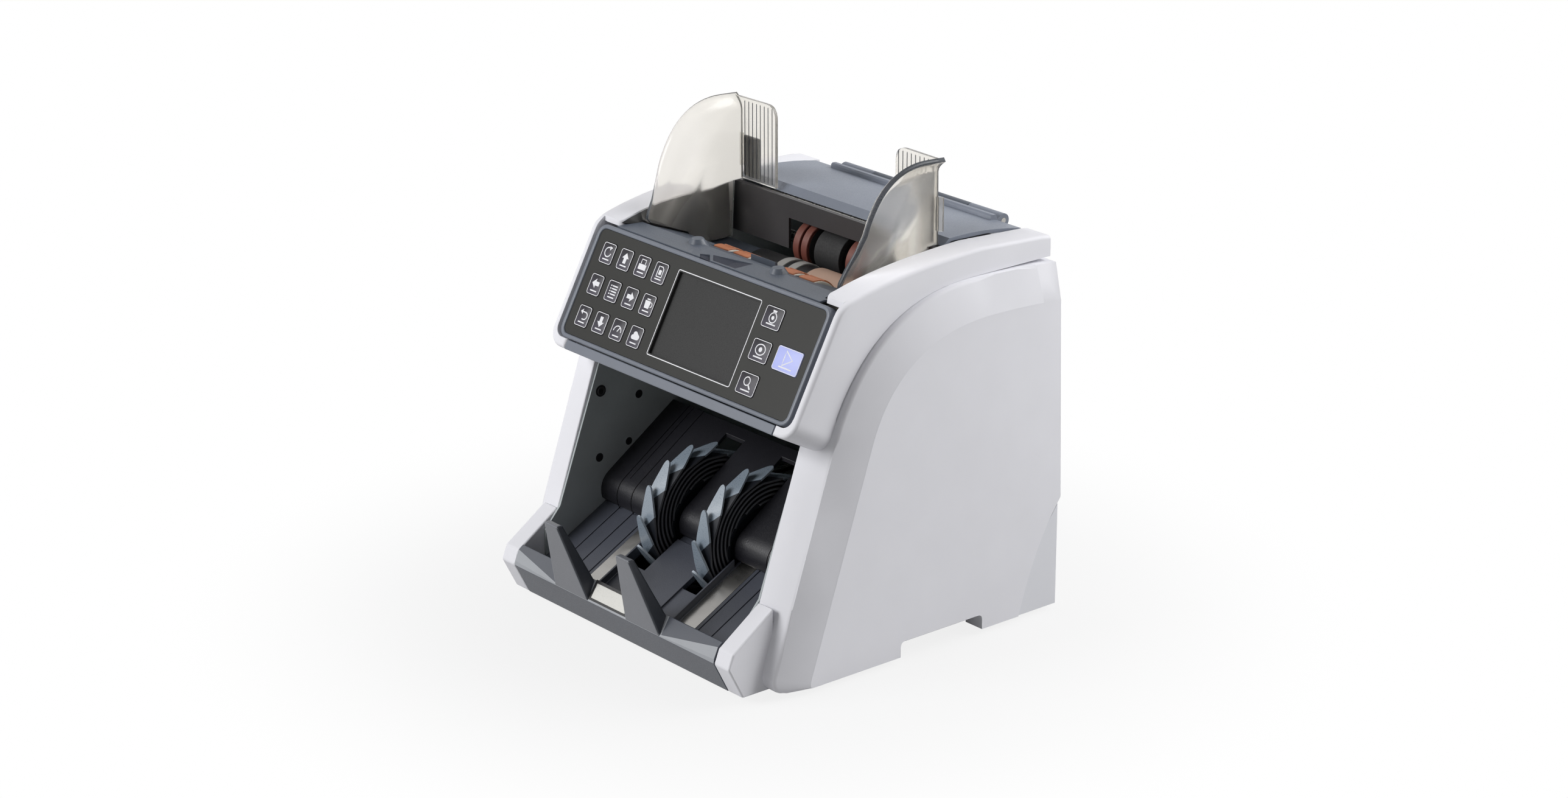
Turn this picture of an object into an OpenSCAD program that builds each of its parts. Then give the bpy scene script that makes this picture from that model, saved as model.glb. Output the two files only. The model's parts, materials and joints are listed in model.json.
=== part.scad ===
// Banknote counter with a top hopper, a control panel and an open front stacker.
// Case frame: x to the right, y to the rear from a datum near the nose, z up from the case's underside.

/* [Case] */
// Overall width over both side covers
case_w = 280; // [260:1:300]
// Width of each side of the case, outside the stacker pocket
side_w = 32; // [30:0.5:35]
// Rear of the case, behind the datum
rear_y = 262; // [245:1:280]
// Wall of the moulded covers
shell_t = 3; // [2.4:0.1:3.4]
// Depth of a side cover, from its open edge to its flat face
cover_depth = 16.5; // [15:0.5:18]
// How far the flat face stands out from the ridge
bevel_out = 5; // [3:0.5:7]
// Width of the bevel between ridge and flat face
bevel_w = 30; // [20:1:34]
// Backward lean of the columns and flanks, degrees
lean = 18.85; // [18:0.25:19.5]
// Height of the side cover's ridge at its crown
ridge_top = 250.5; // [240:0.5:262]
// Height of the rim's crown over that ridge
rim_rise = 18.5; // [17:0.5:20]
// Height of the rubber feet
foot_h = 4; // [3:0.5:8]
// Length of the hand notch in a side cover's lower edge
notch_l = 74; // [50:1:90]
// Height of the hand notch
notch_h = 11; // [8:0.5:14]

/* [Stacker] */
// Slope of the tray, degrees
tray_slope = 28; // [26:0.5:29]
// Slope of the bed above the wheels, degrees
bed_slope = 34.3; // [33:0.5:36]
// Radius of a stacker wheel over its blade tips
wheel_r = 53; // [48:0.5:56]
// Width of a stacker wheel
wheel_w = 16; // [12:0.5:17]
// Distance between the two wheels' middles
wheel_gap = 60; // [58:0.5:62]
// Blades on a wheel
blades = 15; // [12:1:16]
// Angle that a blade wraps round its hub, degrees
blade_wrap = 140; // [120:5:150]
// Thickness of a blade at its tip
blade_t = 1.3; // [1:0.1:1.6]
// Height of the note-stop fins over the lip's crease
fin_h = 54; // [40:1:60]
// Width of a fin at its foot
fin_w = 38; // [30:1:40]

/* [Panel] */
// Width of the case beside the dark overlay
panel_side = 21; // [20:0.5:24]
// Height of the overlay along its slope
panel_h = 76.4; // [72:0.2:80]
// Tilt of the panel from the horizontal, degrees
panel_tilt = 61.6; // [61:0.2:62.4]
// Width of the display
screen_w = 87; // [80:0.5:88]
// Height of the display
screen_h = 60.6; // [54:0.2:66]
// Width of a wide key
wide_key_w = 18.2; // [15:0.2:19]
// Width of the start key
start_key_w = 25; // [20:0.5:26]
// Width of a small key
small_key_w = 13.4; // [11:0.2:15]
// Height of every key but the start key
key_h = 15; // [12:0.2:17]
// Clearance round a key
key_gap = 0.3; // [0.2:0.05:0.5]

/* [Hopper] */
// Width of the case beside the hopper, over its rim
rim_side = 32.5; // [32:0.5:34]
// Travel of a note guide
guide_travel = 42; // [30:1:42]
// Thickness of a note guide
guide_t = 2.5; // [2:0.1:3]
// Height of a note guide's crown
guide_top = 328; // [320:1:332]
// Radius of the feed roller
feed_r = 21; // [18:0.25:23]
// Radius of the tyres on the retard shaft
tyre_r = 17; // [15:0.25:18.5]
// Reach of the pickup pads
pad_r = 20; // [17:0.25:20.5]

/* [Drive] */
// Radius of the shafts
shaft_r = 4; // [3:0.25:4.5]
// Radius of the motor body
motor_r = 21; // [18:0.5:24]
// Radius of the motor's pulleys
drive_r = 10; // [8:0.5:12]
// Radius of the driven pulleys
driven_r = 14; // [12:0.5:15]
// Teeth on the guide pinion
pinion_teeth = 16; // [16:2:16]

/* [Hidden] */
$fn = 48;

// Clearances
fit = 0.05;
slip = 0.1;
seam = 0.3;
running = 0.5;

// Widths, from the middle
half_w = case_w / 2;
pocket_w = case_w - 2 * side_w;
hopper_w = case_w - 2 * rim_side;
panel_w = case_w - 2 * panel_side;
ridge_x = half_w - bevel_out;
shoulder_x = half_w - cover_depth;
plate_t = 1.6;
pocket_x = pocket_w / 2;
wall_x = pocket_x + plate_t;
rim_x = hopper_w / 2;

// Levels of the case, along y, behind the datum
nose_y = -22;
column_y = -3.5;
ridge_y = 3.9;
flat_y = ridge_y + bevel_w;
knee_z = 157;
crown_y = 180;
rear_lean = 8;
rear_in = 4;
column_z = 57.5;
floor_t = 2.5;
rim_top = ridge_top + rim_rise;
rim_low = ridge_top - 4.5;
rim_rear = rear_y - 9;
plate_rear = rear_y - 16;
rim_front = 73.4;
nose_z = 24;
lip_foot_y = -10;
beam_rear = 4;

// Shaft places in the side view
stacker_at = [80, 57.5];
ledge_top = ridge_top + 0.1;
floor_z = ledge_top - 24.6;
pickup_at = [113.5, floor_z - 2.6];
feed_at = [153, floor_z - 15];
nip = 0.47;
retard_turn = 37.7;
retard_at = feed_at + (feed_r + tyre_r + nip) * [cos(retard_turn), sin(retard_turn)];
wall_y = feed_at[0] + feed_r - 4;
motor_at = [175, 42];
shaft_places = [stacker_at, pickup_at, feed_at, retard_at];

// Tray and bed lines in the side view
tray_at = [52.2, 50.7];
bed_at = [57.8, 73.1];
bed_nose = bed_at[0] - 5.4;
bed_end = 118;
tray_front = -7;
tray_rear = 62;
sheet_t = 2.5;

// Panel
panel_at = [49.05, ridge_top - 35.9];
overlay_t = 2;
bezel_edge = 3.6;
bezel_low = 10.9;
bezel_x = panel_w / 2 + bezel_edge;
bezel_top = panel_h / 2 + bezel_edge;
bezel_bottom = -panel_h / 2 - bezel_low;
ring_bottom = -panel_h / 2 - bezel_edge;
bezel_back = -9;
board_z = -6;
board_t = 1.6;
housing_ring = 9;
housing_back = -22;

// Guide mechanism
// Width of the hopper's sloping side wall and its clearance to a guide
tub_w = 4.3;
tub_gap = 1;
guide_x = rim_x - tub_w - tub_gap;
flange_y = wall_y + 4;
flange_w = 39.8;
bridge_z = rim_top - 11;
bridge_t = 2;
rod_r = 2.5;
rod_at = [flange_y + 6.5, rim_top - 5.9];
rack_z = bridge_z + bridge_t + 0.3;
rack_t = 4;
tooth_pitch = PI;
pinion_r = pinion_teeth * tooth_pitch / (2 * PI);
rack_front_y = flange_y + 10.2;
rack_body = 2.8;
tooth_reach = 1;
pinion_y = rack_front_y + rack_body + tooth_reach + pinion_r;
rack_rear_y = pinion_y + pinion_r + tooth_reach;
carriage_l = 20;

// Lid and its hinge
lid_front = flange_y + guide_t + 1;
lid_low = rim_top - 2.4;
wall_top = lid_low + 0.4;
lid_t = 2.4;
lid_x = rim_x - 1.5;
hinge_at = [rear_y - 7, rim_top - 5.4];
knuckle_r = 5;
pin_r = 2;
knuckle_w = 33;

// Middle of the whole part along y, from the fin tips to the hinge knuckles
fin_lean = 17;
fin_tip_y = nose_y - fin_h * tan(fin_lean);
case_mid_y = (hinge_at[0] + knuckle_r + fin_tip_y) / 2;

// Colours
white = [0.88, 0.88, 0.9];
slate = [0.3, 0.33, 0.37];
charcoal = [0.17, 0.18, 0.2];
steel = [0.72, 0.72, 0.72];
black = [0.08, 0.08, 0.09];
orange = [0.72, 0.42, 0.27];
smoke = [0.55, 0.56, 0.56, 0.45];
green = [0.1, 0.35, 0.2];

function flip(list) = [for (i = [len(list) - 1 : -1 : 0]) list[i]];
// Points of a curve from a to c, drawn towards b
function curve(a, b, c, n) =
  [for (i = [0 : n]) let (t = i / n) (1 - t) ^ 2 * a + 2 * t * (1 - t) * b + t ^ 2 * c];
function lean_y(y, z) = y + z * tan(lean);
function tray_z(y) = tray_at[1] + (y - tray_at[0]) * tan(tray_slope);
function bed_z(y) = bed_at[1] + (y - bed_at[0]) * tan(bed_slope);
function rear_at(z) = rear_y - rear_lean * z / ridge_top;

// Draws a side-view outline (y, z) as a slab from x0 to x1
module slab(x0, x1) {
  translate([x0, 0, 0]) rotate([90, 0, 90]) linear_extrude(x1 - x0) children();
}

// A round bar along x through a side-view place
module bar(at, r, x0, x1) {
  slab(x0, x1) translate(at) circle(r);
}

module both_sides() {
  children();
  mirror([1, 0, 0]) children();
}

module in_panel() {
  translate([0, panel_at[0], panel_at[1]]) rotate([panel_tilt, 0, 0]) children();
}

module rounded(w, h, r) {
  for (x = [r - w / 2, w / 2 - r], y = [r - h / 2, h / 2 - r]) translate([x, y]) circle(r);
  square([w - 2 * r, h], center = true);
  square([w, h - 2 * r], center = true);
}

module in_case() {
  translate([0, -case_mid_y, foot_h]) children();
}

// Side covers

function cover_outline(y, top, crown, inset, r) =
  let (low = inset, high = top - inset, foot = y + inset)
  concat(
    curve([foot + r, low], [lean_y(foot, low), low], [lean_y(foot, low + r), low + r], 6),
    curve([lean_y(foot, knee_z), knee_z], [lean_y(foot, high), high], [crown, high], 10),
    [[rear_at(top) - inset, high - 3], [rear_at(0) - inset, low]]);

module cover_solid(inset) {
  open_y = column_y + (ridge_y - column_y) * (shoulder_x - wall_x) / (ridge_x - wall_x);
  reach = inset > 0 ? -1 : 0;
  hull() {
    slab(shoulder_x + reach, shoulder_x + reach + 0.2)
      polygon(cover_outline(open_y, ridge_top, crown_y, inset, 22));
    slab(ridge_x - inset - 0.2, ridge_x - inset)
      polygon(cover_outline(ridge_y, ridge_top, crown_y, inset, 16));
    slab(half_w - inset - 0.2, half_w - inset)
      polygon(cover_outline(flat_y, ridge_top - 26, crown_y + 12, inset, 5));
  }
}

// Line where the rear cover's lower corner meets a side cover
function seam_curve(gap) =
  curve([rear_y - 40 + gap, -1], [rear_y - 26 + gap, 50], [rear_at(78) + 3, 79], 8);

module side_cover() {
  difference() {
    cover_solid(0);
    cover_solid(shell_t);
    translate([shoulder_x - 2, 151 - notch_l / 2, -1]) cube([cover_depth + 4, notch_l, notch_h + 1]);
    slab(shoulder_x - 1, half_w + 1)
      polygon(concat(seam_curve(0), [[rear_y + 9, 79], [rear_y + 9, -1]]));
  }
  column();
}

// White front face of the column between the side plate and the cover's ridge
module column() {
  back = (ridge_y - column_y) * cos(lean);
  inner = wall_x + slip;
  tall = panel_at[1] - 52.1 - column_z;
  intersection() {
    translate([0, column_y, 0]) rotate([-lean, 0, 0]) linear_extrude(2 * tall + column_z)
      polygon([[inner, 0], [ridge_x, back], [ridge_x - 0.5, back + shell_t], [inner, shell_t]]);
    translate([wall_x, column_y, column_z]) cube([shoulder_x + 1 - wall_x, 120, tall]);
  }
}

module left_side_cover() {
  color(white) in_case() mirror([1, 0, 0]) side_cover();
}

module right_side_cover() {
  color(white) in_case() side_cover();
}

// White base at the front: two feet joined by a beam under the tray
module front_base() {
  end = column_foot_y();
  foot = [[lip_foot_y, 1], [nose_y, nose_z], [nose_y + 4, nose_z + 10], [end, column_z - slip], [end, 1]];
  color(white) in_case() {
    both_sides() slab(wall_x + slip, shoulder_x - slip) polygon(foot);
    slab(-shoulder_x + 2, shoulder_x - 2) polygon([[-8, 1], [-8, 8], [beam_rear, 8], [beam_rear, 1]]);
  }
}

function column_foot_y() = lean_y(column_y, column_z);

module base_pan() {
  color(steel) in_case() difference() {
    translate([-shoulder_x + 2, beam_rear, 0])
      cube([2 * shoulder_x - 4, rear_y - rear_in - shell_t - beam_rear - slip, floor_t]);
    for (s = [-1, 1]) translate([s * wheel_gap / 2 - wheel_w / 2 - 2, stacker_at[0] - 20, -1])
      cube([wheel_w + 4, 40, floor_t + 2]);
    both_sides() translate([wall_x, 0, -1]) cube([shoulder_x - wall_x, column_foot_y() + slip, floor_t + 2]);
  }
}

module rubber_feet() {
  color(black) in_case() for (x = [-1, 1] * (pocket_x - 8), y = [20, rear_y - 32])
    translate([x, y, -foot_h]) cylinder(h = foot_h, r1 = 8, r2 = 9);
}

// Steel side plate, carrying the shafts, the bed, the tray and the rims
module side_plate(motor_hole_r) {
  edge = column_foot_y() + 1;
  foot = beam_rear + slip;
  back = housing_back - 1;
  head = panel_at[1] - 54.6;
  front = [[foot, floor_t], [foot, 44], [edge, column_z + 1], [lean_y(column_y, head) + 3.5, head]];
  top = [panel_place(-44, back), panel_place(30, back), [98, rim_low], [plate_rear - 6, rim_low]];
  difference() {
    slab(pocket_x, wall_x) polygon(concat(front, top, [[plate_rear, rim_low - 16], [plate_rear, floor_t]]));
    for (at = shaft_places) bar(at, bush_r() + fit, pocket_x - 1, wall_x + 1);
    if (motor_hole_r > 0) bar(motor_at, motor_hole_r, pocket_x - 1, wall_x + 1);
    for (at = [[54, 135], [87.5, 125], [52, 86], [78, 92]]) bar(at, 2.2, pocket_x - 1, wall_x + 1);
  }
}

function bush_r() = shaft_r + 2;

module left_side_plate() {
  color(charcoal) in_case() mirror([1, 0, 0]) side_plate(0);
}

module right_side_plate() {
  color(charcoal) in_case() side_plate(motor_boss_r + running);
}

module shaft_bushes() {
  color(steel) in_case() both_sides() for (at = shaft_places) difference() {
    union() {
      bar(at, bush_r(), pocket_x, wall_x);
      bar(at, bush_r() + 2, wall_x, wall_x + 1.5);
    }
    bar(at, shaft_r + fit, pocket_x - 1, wall_x + 3);
  }
}

// White rims left and right of the hopper, joined behind the lid
module top_frame() {
  arch = concat(rim_line(0), [[rim_rear, rim_low], [rim_front + 7.6, rim_low + 0.5], [rim_front, rim_low + 4.6]]);
  band = concat(rim_line(0), [[rim_rear, ridge_top + seam],
    [rim_front + 0.5, ridge_top + 2 * seam]]);
  color(white) in_case() difference() {
    union() {
      both_sides() slab(rim_x, shoulder_x - slip) polygon(arch);
      both_sides() slab(shoulder_x - 1, band_x) polygon(band);
      slab(-rim_x - 1, rim_x + 1) translate([rim_rear - 6, rim_low]) square([6, 9]);
      for (x = [-knuckle_w, knuckle_w]) hinge_arm(x - knuckle_w / 2 + seam, x + knuckle_w / 2 - seam);
    }
    bar(hinge_at, pin_r + fit, -rim_x, rim_x);
    both_sides() bar(rod_at, rod_r + fit, rim_x - 1, rim_x + 6);
  }
}

// Outer face of the rim, over the side cover's ridge
band_x = ridge_x - 4.5;

// Top line of the rim, from its front corner to the rear, lowered by an inset
function rim_line(inset) = concat(
  curve([rim_front + 0.6, rim_top - 14.6 - inset], [rim_front + 38.6, rim_top - 2.4 - inset],
    [crown_y + 10, rim_top - inset], 12),
  [[rim_rear - 7, rim_top - 3 - inset], [rim_rear, rim_top - 4.2 - inset]]);

module hinge_arm(x0, x1) {
  bar(hinge_at, knuckle_r, x0, x1);
  slab(x0, x1) translate([hinge_at[0] - 4, rim_low + 4]) square([4, hinge_at[1] - rim_low - 4]);
}

// White housing: a cheek each side of the panel, a shoulder behind it and a hidden bar that joins both
ring_x = bezel_x + housing_ring;
housing_low = bezel_bottom;
// Reach of the cheek's foot under the bezel's corner, from the outer face
cheek_foot = 20;
housing_high = bezel_top + 1;
shoulder_z = ridge_top;

module front_housing() {
  color(white) in_case() {
    both_sides() difference() {
      union() {
        in_panel() cheek();
        difference() {
          slab(shoulder_x, ring_x - seam) shoulder_outline(0);
          slab(shoulder_x - 1, ring_x - seam - shell_t) shoulder_outline(shell_t);
        }
      }
      cover_solid(-seam);
    }
    in_panel() {
      both_sides() translate([wall_x, -16, housing_back + 0.5]) cube([bezel_x + 1 - wall_x, 32, 8]);
      translate([-bezel_x - 1, housing_low + 0.5, housing_back + 0.5]) cube([2 * bezel_x + 2, 6, 8]);
    }
  }
}

// Rounded end of the housing round the panel
module cheek() {
  corner = 12;
  translate([0, 0, housing_back]) linear_extrude(1 - housing_back) difference() {
    translate([ring_x - cheek_foot, housing_low]) square([cheek_foot, housing_high - housing_low]);
    translate([ring_x - cheek_foot - 1, ring_bottom - slip])
      square([cheek_foot + 1 - housing_ring + slip, housing_high - housing_low]);
    difference() {
      translate([ring_x - corner, housing_low - 1]) square(corner + 1);
      translate([ring_x - corner, housing_low + corner]) circle(corner);
    }
  }
}

// Side view of the shoulder that runs back from the cheek until the side cover rises past it
module shoulder_outline(inset) {
  foot = panel_place(housing_low + 8, -2);
  head = panel_place(housing_high, -2);
  top = shoulder_z - inset;
  polygon([foot, head, [head[0] + 4, top], [head[0] + 77, top], [head[0] + 37, top - 57], [60, foot[1]]]);
}

// Side-view place at a height v along the panel's slope and a height n over its face
function panel_place(v, n) =
  panel_at + v * [cos(panel_tilt), sin(panel_tilt)] + n * [-sin(panel_tilt), cos(panel_tilt)];

// White rear cover with wrapped lower corners, vents and the mains panel
module rear_cover() {
  out = rear_y - rear_in;
  top = rim_low - 2;
  lean_back = rear_lean * top / ridge_top;
  color(white) in_case() difference() {
    union() {
      slab(-shoulder_x + slip, shoulder_x - slip)
        polygon([[out, 0], [out - lean_back, top], [out - lean_back - shell_t, top], [out - shell_t, 0]]);
      both_sides() slab(shoulder_x - 2 + slip, half_w - 1.2) intersection() {
        polygon(concat(seam_curve(seam), [[rear_y, 79], [rear_y, -1]]));
        square([out, 77.5]);
      }
    }
    for (i = [0 : 8]) translate([-60, out - 20, top - 94 + 8 * i]) cube([120, 40, 3.2]);
    translate([inlet_x - inlet_w / 2, out - 20, inlet_z - inlet_h / 2]) cube([inlet_w, 40, inlet_h]);
    translate([switch_x - switch_w / 2, out - 20, inlet_z - switch_h / 2]) cube([switch_w, 40, switch_h]);
  }
}

inlet_w = 27.6;
inlet_h = 20;
inlet_x = 70;
inlet_z = 36;
switch_x = 35;
switch_w = 13.4;
switch_h = 19.4;
rocker_tilt = 8;

module mains_inlet() {
  back = rear_at(inlet_z - 12.5) - rear_in + fit;
  color(black) in_case() difference() {
    union() {
      translate([inlet_x - 17, back, inlet_z - 12.5]) cube([34, 2.5, 25]);
      translate([inlet_x - inlet_w / 2 + slip, back - 22, inlet_z - inlet_h / 2 + slip])
        cube([inlet_w - 2 * slip, 23, inlet_h - 2 * slip]);
    }
    translate([inlet_x - 11, back - 14, inlet_z - 7]) cube([22, 20, 14]);
  }
  color(steel) in_case() for (i = [-1, 0, 1])
    translate([inlet_x + 7 * i - 1, back - 15, inlet_z - 2 + 3 * (1 - abs(i))]) cube([2, 12, 4]);
}

// Rocker held by a pivot across the switch opening
module power_switch() {
  back = rear_at(inlet_z) - rear_in;
  color(black) in_case() translate([switch_x, back - 2, inlet_z]) rotate([-rocker_tilt, 0, 0])
    rotate([0, 90, 0])
    linear_extrude(switch_w - 2 * seam, center = true) intersection() {
      circle(8.6);
      polygon([[-8.4, -2], [-8.4, 3.6], [0, 2.6], [8.4, 3.6], [8.4, -2], [0, -8]]);
    }
}

// Front lip with the two note-stop fins
// Lip whose outer ends stand fuller than its middle, with the two fins
module front_lip() {
  fuller = [[nose_y + 0.4, nose_z + 3], [nose_y + 3.8, nose_z + 10.7], [nose_y + 7.5, 37.4]];
  slimmer = [[nose_y + 0.8, nose_z + 1.6], [nose_y + 8.2, 36.8]];
  places = [-wall_x, -63, 53.5, wall_x - 0.02];
  crests = [fuller, slimmer, slimmer, fuller];
  color(slate) in_case() {
    for (i = [0 : 2]) hull() {
      lip_section(places[i], crests[i]);
      lip_section(places[i + 1], crests[i + 1]);
    }
    for (x = [-44.4, 34]) fin(x);
  }
}

// One thin slice of the lip under its crest
module lip_section(x, crest) {
  rear_y = -8.2;
  slab(x, x + 0.02)
    polygon(concat([[lip_foot_y, 1], [nose_y, nose_z]], crest, [[rear_y, 33], [rear_y, 1]]));
}

module fin(x) {
  tip_w = 14.4;
  tip_z = nose_z + fin_h;
  hull() {
    translate([x - fin_w / 2, nose_y + 0.4, nose_z]) cube([fin_w, 9, 1]);
    translate([x - fin_w / 2 + 1, -9.4, nose_z]) cube([fin_w - 2, 1, 8]);
    translate([x - tip_w / 2, fin_tip_y, tip_z - 2]) cube([tip_w, 5, 1]);
    translate([x - tip_w / 2 + 1, fin_tip_y + 1.5, tip_z]) cube([tip_w - 2, 4, 1.5]);
  }
}

// Grooved tray that slopes down to the lip
module stacker_tray() {
  groove = 1;
  pad = 1.6;
  strip = strip_inner();
  slot_front = stacker_at[0] - wheel_r - 3;
  color(charcoal) in_case() difference() {
    union() {
      tray_layer(-pocket_x, pocket_x, -sheet_t, 0);
      tray_layer(-slot_in(), slot_in(), -sheet_t, pad, bed_nose - 0.8);
      both_sides() tray_layer(slot_out(), slot_out() + 1.6, -sheet_t, 5, bed_nose - 0.8);
    }
    both_sides() tray_layer(strip, strip + strip_w, -strip_t, 1);
    both_sides() for (gap = [3, 17, 32]) let (x = strip + strip_w + gap) tray_layer(x, x + 1, -groove, 1);
    both_sides() slab(slot_in(), slot_out()) polygon([[slot_front, 0], [90, 0], [90, 90], [slot_front, 90]]);
  }
}

strip_w = 16;
strip_t = 1;
function slot_in() = wheel_gap / 2 - wheel_w / 2 - 2;
function slot_out() = wheel_gap / 2 + wheel_w / 2 + 2;
function strip_inner() = slot_out() + 2.4;

// A layer parallel to the tray, between two heights over it
module tray_layer(x0, x1, low, high, rear = tray_rear) {
  rise = 1 / cos(tray_slope);
  slab(x0, x1) polygon([
    [tray_front, tray_z(tray_front) + low * rise], [rear, tray_z(rear) + low * rise],
    [rear, tray_z(rear) + high * rise], [tray_front, tray_z(tray_front) + high * rise]]);
}

module wear_strips() {
  inner = strip_inner() + slip;
  color(steel) in_case() both_sides() tray_layer(inner, inner + strip_w - 2 * slip, -strip_t, 0);
}

// Bed cover above the wheels, with a rounded nose and two slots
module stacker_bed() {
  below = sheet_t / cos(bed_slope);
  slot_rear = stacker_at[0] + wheel_r - 22;
  seam_x = pocket_x - 24;
  outer = bed_outline(bed_nose, 2, 0);
  inner = bed_outline(bed_nose + sheet_t, 5, below);
  color(charcoal) in_case() difference() {
    slab(-pocket_x, pocket_x) polygon(concat(outer, flip(inner)));
    both_sides() slab(slot_in(), slot_out()) polygon([[0, 40], [slot_rear, 40], [slot_rear, 140], [0, 140]]);
    both_sides() slab(seam_x, seam_x + 0.8) polygon([[bed_at[0] + 3, bed_z(bed_at[0] + 3) - 0.8],
      [bed_end + 1, bed_z(bed_end + 1) - 0.8], [bed_end + 1, 130], [bed_at[0] + 3, 130]]);
  }
}

// Side view of the bed's skin: up from the tray, round the nose and along the slope
function bed_outline(nose, back, below) = concat(
  [[nose + 4, tray_z(nose + 4) + seam]],
  curve([nose + 1, 56], [nose - 2, 68 - below / 2], [bed_at[0] + back, bed_z(bed_at[0] + back) - below], 8),
  [[bed_end, bed_z(bed_end) - below]]);

// Stacker wheels: spiral blades whose tips trail the turn

hub_r = 14;
blade_root_t = 2;
tip_phase = 69.5;

function blade_edge(side, n) = [for (i = [0 : n]) let (
  t = i / n,
  half = side * (blade_root_t + (blade_t - blade_root_t) * t) / 2,
  r = hub_r - 1.5 + (wheel_r - hub_r + 1.5) * t + half * (1 - t * 0.6),
  a = blade_wrap * (1 - t)) r * [cos(a), sin(a)]];

module blades_flat() {
  for (i = [0 : blades - 1]) rotate(tip_phase + i * 360 / blades)
    polygon(concat(blade_edge(-1, 9), flip(blade_edge(1, 9))));
}

module stacker_wheel(x) {
  tip_in = 1.6;
  tip_w = 4.2;
  half = wheel_w / 2;
  from_r = wheel_r * 0.68;
  color(slate) in_case() translate([x, stacker_at[0], stacker_at[1]]) rotate([90, 0, 90]) difference() {
    union() {
      cylinder(h = wheel_w, r = hub_r, center = true);
      intersection() {
        linear_extrude(wheel_w - 1, center = true) blades_flat();
        rotate_extrude() polygon([[0, -half], [from_r, -half], [wheel_r + 1, tip_in - half],
          [wheel_r + 1, tip_in + tip_w - half], [from_r, half], [0, half]]);
      }
    }
    cylinder(h = wheel_w + 2, r = shaft_r + fit, center = true);
  }
}

module left_stacker_wheel() {
  stacker_wheel(-wheel_gap / 2);
}

module right_stacker_wheel() {
  stacker_wheel(wheel_gap / 2);
}

// Shafts and belts: pulleys sit outside the side plates
pulley_w = 7;
lane_1 = wall_x + 2.5;
lane_2 = lane_1 + pulley_w + 0.8;

module pulley(at, r, x0) {
  bar(at, r, x0, x0 + pulley_w);
}

module stacker_shaft() {
  color(steel) in_case() {
    bar(stacker_at, shaft_r, -wall_x - 3, lane_1 + pulley_w);
    pulley(stacker_at, driven_r, lane_1);
  }
}

// Outline of a belt run between two pulleys
module belt_run(a, b, ra, rb) {
  span = norm(b - a);
  turn = atan2(b[1] - a[1], b[0] - a[0]);
  tip = acos((ra - rb) / span);
  translate(a) circle(ra);
  translate(b) circle(rb);
  polygon([for (p = [[a, ra, tip], [a, ra, -tip], [b, rb, -tip], [b, rb, tip]])
    p[0] + (p[1] - fit) * [cos(turn + p[2]), sin(turn + p[2])]]);
}

module belt(a, b, ra, rb, x0) {
  belt_t = 1.6;
  slab(x0 + 0.5, x0 + pulley_w - 0.5) difference() {
    belt_run(a, b, ra + seam + belt_t, rb + seam + belt_t);
    belt_run(a, b, ra + seam, rb + seam);
  }
}

module drive_belts() {
  color(black) in_case() {
    belt(motor_at, stacker_at, drive_r, driven_r, lane_1);
    belt(motor_at, feed_at, drive_r, driven_r, lane_2);
    belt(pickup_at, feed_at, driven_r, driven_r, -lane_1 - pulley_w);
  }
}

motor_l = 60;
motor_boss_r = 5.5;

module drive_motor() {
  color(charcoal) in_case() difference() {
    union() {
      bar(motor_at, motor_r, pocket_x - 2 - motor_l, pocket_x - 2);
      bar(motor_at, motor_boss_r, pocket_x - 2, wall_x);
      for (a = [45, 225]) bar(motor_at + 17 * [cos(a), sin(a)], 3, pocket_x - 2, pocket_x);
    }
    bar(motor_at, 2.5 + fit, pocket_x - 30, wall_x + 1);
  }
}

module drive_pulley() {
  color(steel) in_case() {
    bar(motor_at, 2.5, pocket_x - 28, lane_2 + pulley_w);
    pulley(motor_at, drive_r, lane_1);
    pulley(motor_at, drive_r, lane_2);
  }
}

// Pickup roller: two hubs with two rubber pads each
pad_w = 18;
pad_places = [15, 36];

module pickup_roller() {
  color(orange) in_case() {
    bar(pickup_at, shaft_r, -lane_1 - pulley_w, wall_x + 3);
    pulley(pickup_at, driven_r, -lane_1 - pulley_w);
    both_sides() for (x = pad_places) {
      bar(pickup_at, 10, x, x + pad_w);
      slab(x, x + pad_w) translate(pickup_at) pad_sector();
    }
  }
}

module pad_sector() {
  for (a = [20, 200]) rotate(a) intersection() {
    difference() {
      circle(pad_r);
      circle(9);
    }
    polygon([[0, 0], [30, 0], [30, 30], [9, 30]]);
  }
}

// Ledge in front of the hopper, sloping down to the hopper floor
ledge_break = 90;
ledge_slope = 21;
ledge_end = 126;
function ledge_z(y) = ledge_top - max(0, y - ledge_break) * tan(ledge_slope);

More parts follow.
